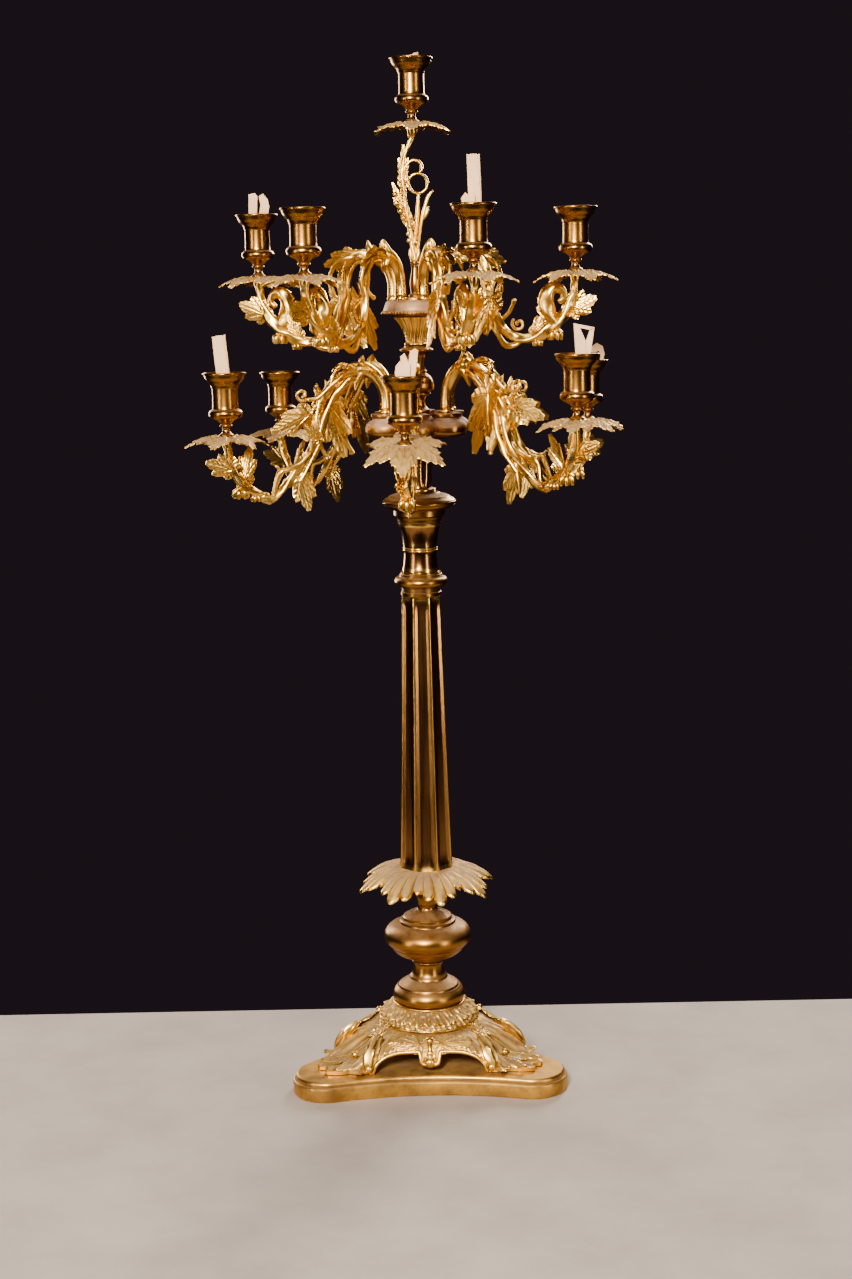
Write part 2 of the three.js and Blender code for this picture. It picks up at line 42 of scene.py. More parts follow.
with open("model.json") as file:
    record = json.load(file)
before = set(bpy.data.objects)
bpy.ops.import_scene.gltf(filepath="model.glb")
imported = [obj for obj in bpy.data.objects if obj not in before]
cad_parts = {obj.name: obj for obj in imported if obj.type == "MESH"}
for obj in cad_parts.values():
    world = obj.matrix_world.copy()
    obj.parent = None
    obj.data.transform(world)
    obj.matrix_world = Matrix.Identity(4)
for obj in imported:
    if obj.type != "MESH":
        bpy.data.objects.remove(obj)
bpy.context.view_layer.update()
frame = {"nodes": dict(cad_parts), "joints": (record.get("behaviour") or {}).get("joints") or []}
JOINTS = {joint["child"]: joint for joint in frame["joints"]}


# ---------------------------------------------------------------- mesh helpers
def mix(a, b, share):
    return a + (b - a) * share


class Shape:
    """Vertices in millimetres and faces, gathered from any number of closed skins."""

    def __init__(self):
        self.points = []
        self.faces = []
        self.count = 0

    def add(self, points, faces):
        self.points.append(np.asarray(points, float).reshape(-1, 3))
        self.faces += [tuple(i + self.count for i in face) for face in faces]
        self.count += len(self.points[-1])
        return self

    def include(self, other, matrix=None):
        points = np.vstack(other.points)
        if matrix is not None:
            m = np.array(matrix)
            points = points @ m[:3, :3].T + m[:3, 3]
        return self.add(points, other.faces)


def gathered(*shapes):
    """One Shape that holds the shapes in their order."""
    made = Shape()
    for shape in shapes:
        made.include(shape)
    return made


def moved(shape, x, y=0):
    return Shape().include(shape, Matrix.Translation((x, y, 0)))


def spun(shape, angle):
    return Shape().include(shape, Matrix.Rotation(angle, 4, "Z"))


def around(count):
    """Evenly spaced angles that make one turn."""
    return np.arange(count) / count * TURN


def polar(radius, angle, *height):
    """Points at a radius and angle about the axis, and at a height if one is given. Each may be an array."""
    return np.stack(np.broadcast_arrays(radius * np.cos(angle), radius * np.sin(angle), *height), -1)


def wrapped(angle):
    """The angle between minus and plus half a turn."""
    return (angle + math.pi) % TURN - math.pi


def off_place(angles, count):
    """How far angles are from the nearest of count even places: 0 at a place and 0.5 halfway between two."""
    return np.abs((angles * count / TURN + 0.5) % 1 - 0.5)


def curve(start, control, end, t):
    return (1 - t) ** 2 * start + 2 * t * (1 - t) * control + t * t * end


def new_object(name, data):
    made = bpy.data.objects.new(name, data)
    bpy.context.scene.collection.objects.link(made)
    return made


def new_mesh(name, shape):
    """A mesh in metres from a shape in millimetres."""
    mesh = bpy.data.meshes.new(name)
    mesh.from_pydata((np.vstack(shape.points) * MM).tolist(), [], shape.faces)
    return mesh


def middle_of(node):
    low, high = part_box(node)
    return (low + high) / 2 / MM


def top_of(node):
    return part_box(node)[1].z / MM


def outward(shape):
    """The same closed skin, with its faces turned to point out."""
    points, volume, groups = shape.points[0], 0.0, {}
    for face in shape.faces:
        groups.setdefault(len(face), []).append(face)
    for group in groups.values():
        corners = points[np.array(group)]
        for k in range(1, corners.shape[1] - 1):
            volume += np.einsum("ij,ij->", corners[:, 0], np.cross(corners[:, k], corners[:, k + 1]))
    if volume < 0:
        shape.faces = [face[::-1] for face in shape.faces]
    return shape


def skin(grid, closed=True, looped=False):
    """A Shape over rows of points. closed joins a row's ends, and looped joins the last row to the first."""
    grid = np.asarray(grid, float)
    rows, columns = grid.shape[:2]
    faces = []
    for i in range(rows if looped else rows - 1):
        j = (i + 1) % rows
        for a in range(columns if closed else columns - 1):
            b = (a + 1) % columns
            faces.append((i * columns + a, i * columns + b, j * columns + b, j * columns + a))
    if closed and not looped:
        faces.append(tuple(range(columns - 1, -1, -1)))
        faces.append(tuple((rows - 1) * columns + a for a in range(columns)))
    if looped and not closed:
        faces.append(tuple(i * columns for i in range(rows)))
        faces.append(tuple(i * columns + columns - 1 for i in range(rows - 1, -1, -1)))
    return outward(Shape().add(grid, faces))


def finish_piece(name, shape, slot, sharp, body=STAND, matrix=None, node=None):
    """Makes the piece in its slot's material, in place of its CAD node, and sets it riding on its body."""
    mesh = new_mesh(f"{name}_finished", Shape().include(shape, matrix))
    mesh.validate()
    mesh.materials.append(MATERIALS[slot])
    mesh.shade_smooth()
    mesh.set_sharp_from_angle(angle=math.radians(sharp))
    piece = new_object(f"{name}_finished", mesh)
    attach(piece, body)
    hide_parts(node or name)


def outline(*steps, smooth=8):
    """Points from steps: (r, z) goes straight there, and (control r, control z, r, z) curves there."""
    points = []
    for step in steps:
        if len(step) == 2:
            points.append(np.array(step, float))
            continue
        start, control, end = points[-1], np.array(step[:2]), np.array(step[2:])
        points += [curve(start, control, end, k / smooth) for k in range(1, smooth + 1)]
    return np.array(points)


def bead(r, z, size, steps=6):
    """Steps for a half-round bead that stands out from radius r, from height z to z + size."""
    half = size / 2
    return [
        (r + half * math.sin(math.pi * k / steps), z + half * (1 - math.cos(math.pi * k / steps)))
        for k in range(steps + 1)
    ]


NEAR_AXIS = 0.02
ROUND_END = [(0.35, 0.8), (0.6, 0.35)]


def turned(points, sides=96, relief=None):
    """A lathe shape from (r, z) points, closed near the axis. relief(z, angles) adds to the radius."""
    angles = around(sides)
    rows = []
    for r, z in np.vstack([[NEAR_AXIS, points[0][1]], points, [NEAR_AXIS, points[-1][1]]]):
        rows.append(polar(r + relief(z, angles) if relief and r > 1 else r, angles, z))
    return skin(rows)


def smooth_path(points, per):
    """A Catmull-Rom line through points, with any further columns carried along."""
    p = np.asarray(points, float)
    p = np.vstack([2 * p[0] - p[1], p, 2 * p[-1] - p[-2]])
    made = []
    for a, b, c, d in zip(p, p[1:], p[2:], p[3:]):
        for t in np.arange(per) / per:
            made.append(0.5 * (2 * b + (c - a) * t + (2 * a - 5 * b + 4 * c - d) * t**2
                               + (3 * b - a - 3 * c + d) * t**3))
    return np.array(made + [p[-2]])


def stem(points, per=6, sides=14, ridges=0, depth=0.0, twist=0.0, bark=0.0, flat=1.0):
    """A stem along points of (x, y, z, radius), with twisting ridges and bark.

    ROUND_END closes both ends, with rings at (distance past the end in radii, share of the end's size).
    """
    path = smooth_path(points, per)
    line, radius = path[:, :3], path[:, 3]
    tangent = np.gradient(line, axis=0)
    tangent /= np.linalg.norm(tangent, axis=1)[:, None]
    side = np.cross(tangent[0], [0, 1, 0])
    if np.linalg.norm(side) < 0.1:
        side = np.cross(tangent[0], [1, 0, 0])
    travel = np.concatenate([[0], np.cumsum(np.linalg.norm(np.diff(line, axis=0), axis=1))])
    angles = around(sides)
    rows = []
    last = len(line) - 1
    for i, (at, along, r, s) in enumerate(zip(line, tangent, radius, travel)):
        side = side - along * (side @ along)
        side /= np.linalg.norm(side)
        up = np.cross(along, side)
        wave = depth * np.cos(ridges * angles + twist * s)
        wave = wave + bark * np.sin(3 * angles + 0.9 * s) * np.sin(0.55 * s + 2 * angles)
        rim = r * (1 + wave)
        ring = np.outer(rim * np.cos(angles), side) + np.outer(rim * np.sin(angles) * flat, up)
        if i == 0:
            rows += [at - along * r * past + ring * share for past, share in reversed(ROUND_END)]
        rows.append(at + ring)
        if i == last:
            rows += [at + along * r * past + ring * share for past, share in ROUND_END]
    return skin(rows)


def ball(centre, size, stretch=(1, 1, 1), sides=14, rows=8):
    made = []
    for tilt in [math.pi * (0.02 + 0.96 * k / rows) for k in range(rows + 1)]:
        ring = polar(math.sin(tilt), around(sides), -math.cos(tilt))
        made.append(np.array(centre) + ring * size * np.array(stretch))
    return skin(made)


def studs(count, radius, z, size, **form):
    """A ring of balls round the axis."""
    return gathered(*[ball((*polar(radius, angle), z), size, **form) for angle in around(count)])


# ---------------------------------------------------------------- leaves
def lobed_reach(angles, lobes, depth, power, floor, teeth, tooth):
    """A lobed leaf's outline, as radius over angle. A lobe is (angle, radius, half width as an angle)."""
    longest = max(radius for _, radius, _ in lobes)
    reach = np.full(len(angles), floor * longest)
    for at, radius, half in lobes:
        away = np.abs(wrapped(angles - at)) / half
        reach = np.maximum(reach, radius * (1 - depth * away**power))
    saw = np.abs((angles * teeth / TURN) % 1 - 0.5) * 2
    return reach * (1 - tooth * saw)


def veins(r, angles, lobes, height, width, spacing):
    """Raised veins: one along each lobe's middle, and slanting ones beside it."""
    total = np.zeros_like(r)
    for at, radius, half in lobes:
        away = wrapped(angles - at)
        across, along = np.abs(r * np.sin(away)), r * np.cos(away)
        near = np.clip(1 - np.abs(away) / half, 0, 1) ** 0.5 * (along > 0)
        rib = np.exp(-((across / width) ** 2)) * np.clip(1.1 - along / radius, 0.15, 1)
        ripple = 0.5 + 0.5 * np.cos(TURN * (along - 1.1 * across) / spacing)
        total = np.maximum(total, near * (rib + 0.45 * ripple**3))
    return height * total


VINE_LOBES = [(0, 1, 27), (36, 0.8, 24), (-36, 0.8, 24), (78, 0.56, 27), (-78, 0.56, 27), (128, 0.36, 34),
              (-128, 0.36, 34)]
VINE_EDGE = (0.4, 1.5, 0.34, 34, 0.05)
ROUND_EDGE = (0.3, 2.6, 0.62, 16, 0.05)
OPEN_LEAF = math.radians(310)
TIP_THINNING = 0.35


def lobed_sheet(lobes, inner, thickness, shape, rows, sides, edge, full=True):
    """A cast leaf or dish. shape(r, angle, share of the way out) gives its upper surface's height."""
    span = TURN if full else OPEN_LEAF
    angles = np.linspace(-span / 2, span / 2, sides, endpoint=not full)
    reach = lobed_reach(angles, lobes, *edge)
    upper, lower = [], []
    for share in np.linspace(0, 1, rows) ** 0.85:
        r = inner + (reach - inner) * share
        z = shape(r, angles, share)
        upper.append(polar(r, angles, z))
        lower.append(polar(r, angles, z - thickness * (1 - TIP_THINNING * share)))
    return skin(np.array(upper + lower[::-1])[::-1], closed=full, looped=True)


def vine_leaf(stalk, tip, width, facing, curl, fold, edge=VINE_EDGE):
    """A lobed vine leaf from its stalk's joint to its tip. Its upper face looks along facing."""
    stalk, tip = Vector(stalk), Vector(tip)
    length = (tip - stalk).length
    lobes = [(math.radians(a), length * share, math.radians(half)) for a, share, half in VINE_LOBES]
    squeeze = width / (length * 1.1)

    def height(r, angles, share):
        droop = -curl * length * (r / length) ** 2 + fold * np.abs(r * np.sin(angles))
        cup = 0.05 * length * np.cos(angles * 5) * (r / length) ** 2
        return droop + cup + veins(r, angles, lobes, 1.7, 1.1, length / 6) * (0.4 + 0.6 * share)

    made = lobed_sheet(lobes, 0.3, 1.6, height, 14, 200, edge, full=False)
    forward = (tip - stalk).normalized()
    normal = Vector(facing)
    normal = (normal - forward * normal.dot(forward)).normalized()
    across = normal.cross(forward)
    matrix = Matrix((forward, across * squeeze, normal)).transposed().to_4x4()
    matrix.translation = stalk
    return Shape().include(made, matrix)


# ---------------------------------------------------------------- materials
MATERIALS = {}


class Paint:
    """A Principled material for one slot, whose sockets are fed by small chains of nodes."""

    def __init__(self, name):
        self.material = MATERIALS[name] = bpy.data.materials.new(name)
        self.material.use_nodes = True
        self.tree = self.material.node_tree
        self.shader = self.tree.nodes["Principled BSDF"]
        self.place = self.node("ShaderNodeTexCoord").outputs["Object"]

    def node(self, kind, inputs=(), **settings):
        made = self.tree.nodes.new(kind)
        for key, value in settings.items():
            setattr(made, key, value)
        for key, value in dict(inputs).items():
            self.feed(made.inputs[key], value)
        return made

    def feed(self, socket, value):
        if isinstance(value, bpy.types.NodeSocket):
            self.tree.links.new(value, socket)
        else:
            socket.default_value = value

    def noise(self, scale, detail=4, stretch=None):
        place = self.place
        if stretch:
            place = self.node("ShaderNodeVectorMath", {0: place, 1: stretch}, operation="MULTIPLY").outputs[0]
        inputs = {"Vector": place, "Scale": scale, "Detail": detail, "Roughness": 0.6}
        return self.node("ShaderNodeTexNoise", inputs).outputs["Fac"]

    def math(self, operation, a, b=0.0, c=0.0):
        return self.node("ShaderNodeMath", {0: a, 1: b, 2: c}, operation=operation).outputs[0]

    def ramp(self, value, low, high, out_low=0.0, out_high=1.0):
        inputs = {"Value": value, "From Min": low, "From Max": high, "To Min": out_low, "To Max": out_high}
        return self.node("ShaderNodeMapRange", inputs).outputs["Result"]

    def mix(self, share, a, b):
        made = self.node("ShaderNodeMix", data_type="RGBA")
        for socket, value in zip([made.inputs[0], made.inputs[6], made.inputs[7]], [share, a, b]):
            self.feed(socket, value)
        return made.outputs[2]

    def bump(self, height, strength, distance):
        inputs = {"Height": height, "Strength": strength, "Distance": distance}
        self.feed(self.shader.inputs["Normal"], self.node("ShaderNodeBump", inputs).outputs["Normal"])

    def look(self, name, value):
        self.feed(self.shader.inputs[name], value)


def colour(red, green, blue):
    return (red, green, blue, 1.0)


# Blender's pointiness is 0.5 on a flat face, more on an edge and less in a hollow.
HOLLOW = (0.44, 0.51)
DUSTY_HOLLOW = (0.48, 0.42)
RUBBED_EDGE = (0.505, 0.54)
# The pointiness range over which edges take a painted highlight.
PAINTED_HIGHLIGHT_EDGE = (0.505, 0.53)


def brass(name, bright, dark, gloss, dust, dust_colour, grain=0.15, streaks=None, settle=(0.25, 0.85),
          even=0.6, rubbed=0.15, edge=None):
    """Old brass: brighter on edges and darker in hollows, with dust on what faces up, rubbed off edges. Where
    edge is given, edges also take that colour as a painted highlight.
    """
    paint = Paint(name)
    geometry = paint.node("ShaderNodeNewGeometry")
    point = geometry.outputs["Pointiness"]
    patches = paint.noise(38, 4, streaks)
    fine = paint.noise(300, 3, streaks)
    tone = paint.math("MULTIPLY", paint.ramp(patches, 0.35, 0.62, even, 1.0),
                      paint.ramp(fine, 0.3, 0.6, mix(even, 1, 0.7), 1.0))
    tone = paint.math("MULTIPLY", tone, paint.ramp(point, *HOLLOW, 0.15, 1.0))
    metal = paint.mix(tone, dark, bright)
    # Where edge is given, edges take that colour as a painted highlight.
    if edge:
        metal = paint.mix(paint.ramp(point, *PAINTED_HIGHLIGHT_EDGE), metal, edge)
    up = paint.node("ShaderNodeSeparateXYZ", {0: geometry.outputs["Normal"]}).outputs["Z"]
    uneven = paint.ramp(paint.noise(120, 5), 0.34, 0.62, 0.45, 1.0)
    laid = paint.math("MULTIPLY", paint.ramp(up, *settle), uneven)
    laid = paint.math("ADD", laid, paint.ramp(point, *DUSTY_HOLLOW, 0.0, 0.3))
    laid = paint.math("MULTIPLY", laid, paint.ramp(point, *RUBBED_EDGE, dust, dust * rubbed))
    laid = paint.math("MINIMUM", laid, 1.0)
    paint.look("Base Color", paint.mix(laid, metal, dust_colour))
    paint.look("Metallic", paint.math("SUBTRACT", 1.0, laid))
    rough = paint.ramp(patches, 0.3, 0.7, *gloss)
    paint.look("Roughness", paint.math("ADD", rough, paint.math("MULTIPLY", laid, 0.45)))
    paint.bump(paint.noise(700, 3), grain, 0.0003)


def paper():
    paint = Paint("paper")
    fibres = paint.noise(900, 5, (1, 1, 0.3))
    stains = paint.noise(60, 4)
    tint = paint.mix(paint.ramp(stains, 0.35, 0.7), colour(0.86, 0.56, 0.35), colour(0.94, 0.66, 0.43))
    fibre_share = paint.ramp(fibres, 0.4, 0.75, 0, 0.25)
    paint.look("Base Color", paint.mix(fibre_share, tint, colour(0.68, 0.43, 0.28)))
    paint.look("Roughness", 0.85)
    paint.bump(fibres, 0.35, 0.0003)


def steel():
    paint = Paint("fixings")
    wear = paint.noise(500, 4)
    paint.look("Base Color", paint.mix(wear, colour(0.22, 0.18, 0.14), colour(0.5, 0.46, 0.4)))
    paint.look("Metallic", 1.0)
    paint.look("Roughness", paint.ramp(wear, 0.3, 0.7, 0.35, 0.65))


GOLD = colour(0.96, 0.63, 0.20)
OCHRE = colour(0.32, 0.175, 0.075)
WARM = colour(0.39, 0.205, 0.066)
AMBER = colour(0.18, 0.088, 0.033)
TAN = colour(0.44, 0.235, 0.09)
BROWN = colour(0.16, 0.07, 0.038)
DULL_GOLD = colour(0.74, 0.44, 0.13)
DUST = colour(0.25, 0.16, 0.09)
PINK_DUST = colour(0.33, 0.225, 0.15)
PALE_DUST = colour(0.40, 0.28, 0.20)
FOOT_DUST = colour(0.18, 0.11, 0.06)
brass("plinth_brass", DULL_GOLD, OCHRE, (0.3, 0.45), 1.0, DUST, settle=(0.5, 0.95), even=0.35,
      rubbed=0.3)
brass("foot_brass", GOLD, OCHRE, (0.26, 0.38), 0.9, FOOT_DUST, 0.3, settle=(0.2, 0.75), rubbed=0.04)
brass("turned_brass", WARM, AMBER, (0.27, 0.33), 0.75, DUST, 0.03, settle=(0.3, 0.95), even=0.85,
      rubbed=0.3)
brass("cup_brass", WARM, AMBER, (0.25, 0.3), 0.6, PINK_DUST, 0.02, settle=(0.5, 1.0), even=0.85,
      rubbed=0.4)
# The column's brass paints a gold highlight along its arrises.
brass("column_brass", TAN, BROWN, (0.2, 0.27), 0.6, DUST, 0.04, streaks=(4, 4, 0.25), even=0.5,
      rubbed=0.3, edge=GOLD)
brass("gilt_cast", GOLD, OCHRE, (0.24, 0.34), 0.3, PINK_DUST, settle=(0.65, 1.0), even=0.75)
brass("hub_brass", TAN, BROWN, (0.26, 0.4), 1.0, PALE_DUST, 0.1, settle=(0.0, 0.5), rubbed=0.5)
brass("dusty_leaf", GOLD, OCHRE, (0.28, 0.42), 1.0, PINK_DUST, 0.3, settle=(0.5, 0.9), rubbed=0.08)
steel()
paper()


# ---------------------------------------------------------------- plinth and foot
CORNERS = [math.radians(a) for a in (210, 330, 90)]
CORNER_STEP = math.radians(120)
HALF_STEP = math.radians(60)
LOBE = 35
LOBE_SWEEP = 80
LOBE_AT = (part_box("base_plate")[1].x / MM - LOBE) / math.cos(math.radians(30))
SIDE_CONTROL = 69


def plinth_ring(inset, z):
    """The plinth's outline at a height: three round lobes joined by hollow sides."""
    points = []
    for corner in CORNERS:
        following = corner + CORNER_STEP
        lobe = polar(LOBE_AT, corner)
        lobe = lobe + polar(LOBE - inset, corner + np.radians(np.linspace(-LOBE_SWEEP, LOBE_SWEEP, 25)))
        control = polar(SIDE_CONTROL - inset, corner + HALF_STEP)
        start = polar(LOBE_AT, following) + polar(LOBE - inset, following - math.radians(LOBE_SWEEP))
        t = np.linspace(0, 1, 22)[1:-1, None]
        points += [*lobe, *curve(lobe[-1], control, start, t)]
    return np.column_stack([points, np.full(len(points), z)])


def plinth():
    levels = [(1.2, 0), (0, 1.4), (0, 12.6), (0.5, 14), (1.6, 14.9), (3, 15.1), (3, 17.6), (3.6, 18.9),
              (5, 19.9)]
    rows = [plinth_ring(inset, z) for inset, z in levels]
    inwards = [0.5, 0.5, 1]
    return skin([rows[0] * inwards, *rows, rows[-1] * inwards])


SIDE_FALL = np.array([[50, 54], [60, 49], [67, 40], [70, 28]], float)
SIDE_SPREAD = np.array([0, 0.5, 1, 1])
CORNER_FALL = np.array([[50, 54], [70, 40], [94, 24], [129, 24]], float)
CORNER_FROM = math.radians(36)
FOOT_SIDE = 72
FOOT_REACH = 129
FOOT_WALL = 2.2
FOOT_TOP = 54
FOOT_CEILING = 50.5
FOOT_HOLE = 6
ARCH = {"from": 11, "to": 57, "apex": 40, "low": 20.6}
PENDANT_BOTTOM = 28
RIM = 2.1


def smooth_step(t):
    t = min(max(t, 0), 1)
    return t * t * (3 - 2 * t)


def foot_edge(along):
    """Height of the foot's lower edge at a distance from the middle of its side."""
    if along > ARCH["to"]:
        return ARCH["low"]
    share = max(0, (along - ARCH["from"]) / (ARCH["to"] - ARCH["from"]))
    arch = ARCH["low"] + (ARCH["apex"] - ARCH["low"]) * math.sqrt(1 - share**4)
    return mix(PENDANT_BOTTOM + 0.02 * along**2, arch, smooth_step((along - 8) / 4))


def foot_profile(from_side):
    """The skirt from the crown to its edge, as (r, z): steep over the arches and flat on the corner pads."""
    corner = smooth_step((from_side - CORNER_FROM) / (HALF_STEP - CORNER_FROM))
    side = SIDE_FALL.copy()
    side[:, 0] *= mix(1, 1 / math.cos(from_side), SIDE_SPREAD)
    levels = mix(side, CORNER_FALL, corner)
    scallop = 2.6 * (1 - abs(math.sin(from_side * 22)) ** 0.7) * (corner > 0.1)
    reach = FOOT_REACH - 8 * max(0, corner - 0.97) / 0.03
    levels[3, 0] = min(FOOT_SIDE / math.cos(from_side), reach) - scallop
    levels[2, 0] = min(levels[2, 0], levels[3, 0] - 2)
    return smooth_path(levels, 10)


def bump(x, centre, width):
    return np.exp(-(((x - centre) / width) ** 2))


def foot_relief(along, r, z, corner):
    """The skirt's own relief: a fringe over the arches, raised pad edges and shallow ribs to each corner."""
    fringe = bump(z - foot_edge(along), 5, 1.6) * (1 + np.cos(along * 1.3)) * (along < 60)
    edging = bump(r, min(FOOT_SIDE / math.cos(HALF_STEP - corner), FOOT_REACH), 4) * 1.6 * (along > 58)
    ribs = 0.6 * np.cos(corner * 70) * np.clip((r - 60) / 10, 0, 1)
    return (fringe + edging + ribs) * np.clip((r - 53) / 6, 0, 1)


def side_ornament():
    """The front side's cast ornament: a leaf over each arch, scrolled cartouches and the knobbed pendant."""
    parts = [
        stem([(0, -60, 50.4, 2.2), (0, -65.4, 44.6, 2.6), (0, -68.6, 38, 2.8), (0, -70, 31, 3.6)], 5, 12),
        ball((0, -70.6, 31), 6, (1, 0.75, 0.9)),
        ball((0, -68.6, 40), 3.6, (1.1, 0.8, 1)),
        ball((0, -61, 50.6), 3.6),
    ]
    for side in (-1, 1):
        cartouche = [(side * 63, -74.6, 26, 3.6), (side * 62, -72, 33, 6), (side * 59, -67, 42, 6.6),
                     (side * 54, -60.4, 50, 5), (side * 50, -57, 54, 3)]
        parts += [
            vine_leaf((side * 11, -63.6, 49), (side * 43, -62.6, 50), 19, (0, -0.75, 0.66), 0.05, -0.16,
                      ROUND_EDGE),
            stem(cartouche, 7, 24, 6, 0.16, 0.12, flat=0.8),
            ball((side * 62, -75.4, 27), 4, (1, 0.7, 1)),
        ]
    return gathered(*parts)


def corner_ornament():
    """A corner's cast ornament, drawn towards +X: layered acanthus leaves that spread onto the pad."""
    leaves = [((52, 0, 54.6), (92, 0, 28), 34, (0.58, 0, 0.81), 0.0, -0.08)]
    for side in (-1, 1):
        leaves += [
            ((60, side * 8, 49), (86, side * 30, 31), 19, (0.5, side * 0.35, 0.79), 0.02, -0.05),
            ((86, side * 7, 28.4), (121, side * 15, 26), 19, (0.1, 0, 1), 0.02, -0.05),
            ((88, side * 18, 28), (106, side * 37, 26), 17, (0.1, 0, 1), 0.02, -0.05),
        ]
    return gathered(*[vine_leaf(*leaf, ROUND_EDGE) for leaf in leaves], ball((88, 0, 31), 3.6, (1.2, 1, 0.9)))


def foot():
    slices, rows = 640, 64
    grid, edge_line = [], []
    for angle in around(slices):
        corner = min(abs(wrapped(angle - c)) for c in CORNERS)
        from_side = max(HALF_STEP - corner, 0)
        along = FOOT_SIDE * math.tan(from_side)
        low = foot_edge(along)
        line = foot_profile(from_side)
        places = np.linspace(0, 1, len(line))
        end = np.interp(-(low + 1), -line[:, 1], places) if line[-1, 1] < low + 1 else 1.0
        shares = np.linspace(0, end, rows)
        r, z = np.interp(shares, places, line[:, 0]), np.interp(shares, places, line[:, 1])
        raised = foot_relief(along, r, z, corner) * np.clip((end - shares) * 9 + 0.1, 0, 1)
        outer = np.stack([r + raised * 0.45, z + raised * 0.75], 1)
        inner = np.stack([r - FOOT_WALL, np.minimum(z - FOOT_WALL, FOOT_CEILING)], 1)
        bottom = min(low, outer[-1, 1] - 0.8)
        inner[:, 1] = np.maximum(inner[:, 1], bottom)
        loop = np.vstack([[FOOT_HOLE, FOOT_TOP], outer, [outer[-1, 0], bottom], inner[::-1],
                          [FOOT_HOLE, FOOT_CEILING]])
        grid.append(polar(loop[:, 0], angle, loop[:, 1]))
        edge_line.append((*polar(outer[-1, 0], angle), bottom + 1.1, along))
    made = gathered(skin(np.array(grid).transpose(1, 0, 2), looped=True), arch_rims(edge_line))
    side, acanthus = side_ornament(), corner_ornament()
    for k, corner in enumerate(CORNERS):
        made.include(spun(side, k * TURN / 3))
        made.include(spun(acanthus, corner))
    return made


def arch_rims(edge_line):
    """The raised bead that runs round each side's two arches and its pendant."""
    made = Shape()
    first = next(i for i, point in enumerate(edge_line) if point[3] > ARCH["to"] + 4)
    run = []
    for point in edge_line[first:] + edge_line[: first + 1]:
        if point[3] < ARCH["to"] + 2:
            run.append((*point[:3], RIM))
            continue
        if len(run) > 4:
            made.include(stem(run, 2, 10))
        run = []
    return made


def screw(name):
    centre, top = middle_of(name), top_of(name)
    head = outline((2, 12), (2, top - 2.5), (4.2, top - 2.4), (4.2, top - 1.4), (4, top, 2.4, top),
                   (0.1, top))
    return moved(turned(head, 40), centre.x, centre.y)


DOME_LOW, DOME_RISE = 57.4, 14.2


def dome_relief(z, angles):
    """Two rows of upright leaves, the lower ones shorter and between the upper ones."""
    if not DOME_LOW < z < DOME_LOW + DOME_RISE:
        return 0
    rise = math.sin(math.pi * (z - DOME_LOW) / DOME_RISE) ** 0.5
    upper = np.abs(np.cos(9 * angles)) ** 0.7 * (3.2 - 1.1 * np.cos((z - 60) * 0.8))
    lower = np.abs(np.sin(9 * angles)) ** 0.7 * 1.9 * bump(z, 60.5, 3.2)
    ribs = np.cos(54 * angles + 0.5 * z)
    curls = np.cos(18 * angles) * np.cos((z - 58) * 1.1)
    return rise * (np.maximum(upper, lower) + 0.8 * ribs + 0.9 * curls - 3.0)


def foot_dome():
    rows = [(51.8 - 14.4 * t**1.5, 57 + 14.4 * t**0.85) for t in np.linspace(0, 1, 30)]
    points = outline((51.6, 54.4), *bead(50.2, 54.5, 2.3), *rows, (37.4, 71.8), *bead(36.4, 72, 2), (36, 74))
    return gathered(turned(points, 576, dome_relief), studs(6, 49.5, 62, 2))


finish_piece("base_plate", plinth(), "plinth_brass", 30)
finish_piece("tripod_foot", foot(), "foot_brass", 50)
for i in (1, 2, 3):
    finish_piece(f"foot_screw_{i}", screw(f"foot_screw_{i}"), "fixings", 38)
finish_piece("foot_dome", foot_dome(), "foot_brass", 50)


# ---------------------------------------------------------------- the turned stem
BUN = outline(
    (35, 74.4), (35.6, 75), (37, 76, 37, 79.4), (36.9, 84.4, 33.4, 88), (32.4, 89.2), (31.2, 89.2),
    (30.8, 90.2), (30.6, 91.2, 29, 92), (25, 94.6, 21, 97), (19.8, 97.8), (19.4, 99.4, 18, 101),
    (16.4, 103, 15.8, 107), (15, 111, 15.2, 113.6), (15.6, 114.4), *bead(16.2, 114.8, 1.7), (16.6, 116.8),
    (17.6, 118),
)
KNOP = outline(
    (17.6, 118.4), *bead(17.6, 118.8, 1.8), (18.6, 121), (30, 122, 36, 128.6), (38.2, 131.4),
    (38.8, 132.4), (38.9, 133.6), (40.2, 134.4), (46.2, 138.6, 44.6, 145.6), (43.4, 152.6, 34, 156.4),
    (30, 157.6), (29.2, 157.9), (28.8, 158.8), (28.8, 160), (28.2, 160.6), (26.4, 161.2), (25.4, 161.6),
    (25.2, 162.6), (25.2, 163.6), (24.6, 164.4), (21, 166.8, 16, 169), (11.4, 170.6),
    (8.6, 173.4, 10.4, 177), (11, 183, 12.6, 186), (16, 189.8),
)
COLLAR = outline(
    (20, 499.4), (20.4, 500), (20.4, 503), (19.4, 503.6), (19.4, 507.4), (20.2, 508.4), (22, 508.8),
    *bead(22, 509, 9.4, 12), (22, 518.8), (21.4, 519.6), (21.4, 521), (20.6, 521.8), (20.6, 523),
)
BELL = outline(
    (18.2, 523.4), (18.4, 526), (16.2, 534, 16.6, 544), *bead(16.8, 544.4, 1.6), *bead(16.9, 546.4, 1.6),
    (17.2, 548.4), (17.4, 562, 21.4, 571), (21.6, 573),
)
CROWN = outline(
    (21.6, 573.4), (22, 574.4), (22.2, 579.4, 25.6, 580), (26, 580.4), (26, 585.4), (26.6, 586.2),
    (34, 587, 35.6, 591), *bead(35.2, 591.4, 3.4), (35.4, 595.2), (34.4, 596.4), (31, 598), (30, 599.4),
    (26, 601, 21, 602), (20, 603),
)
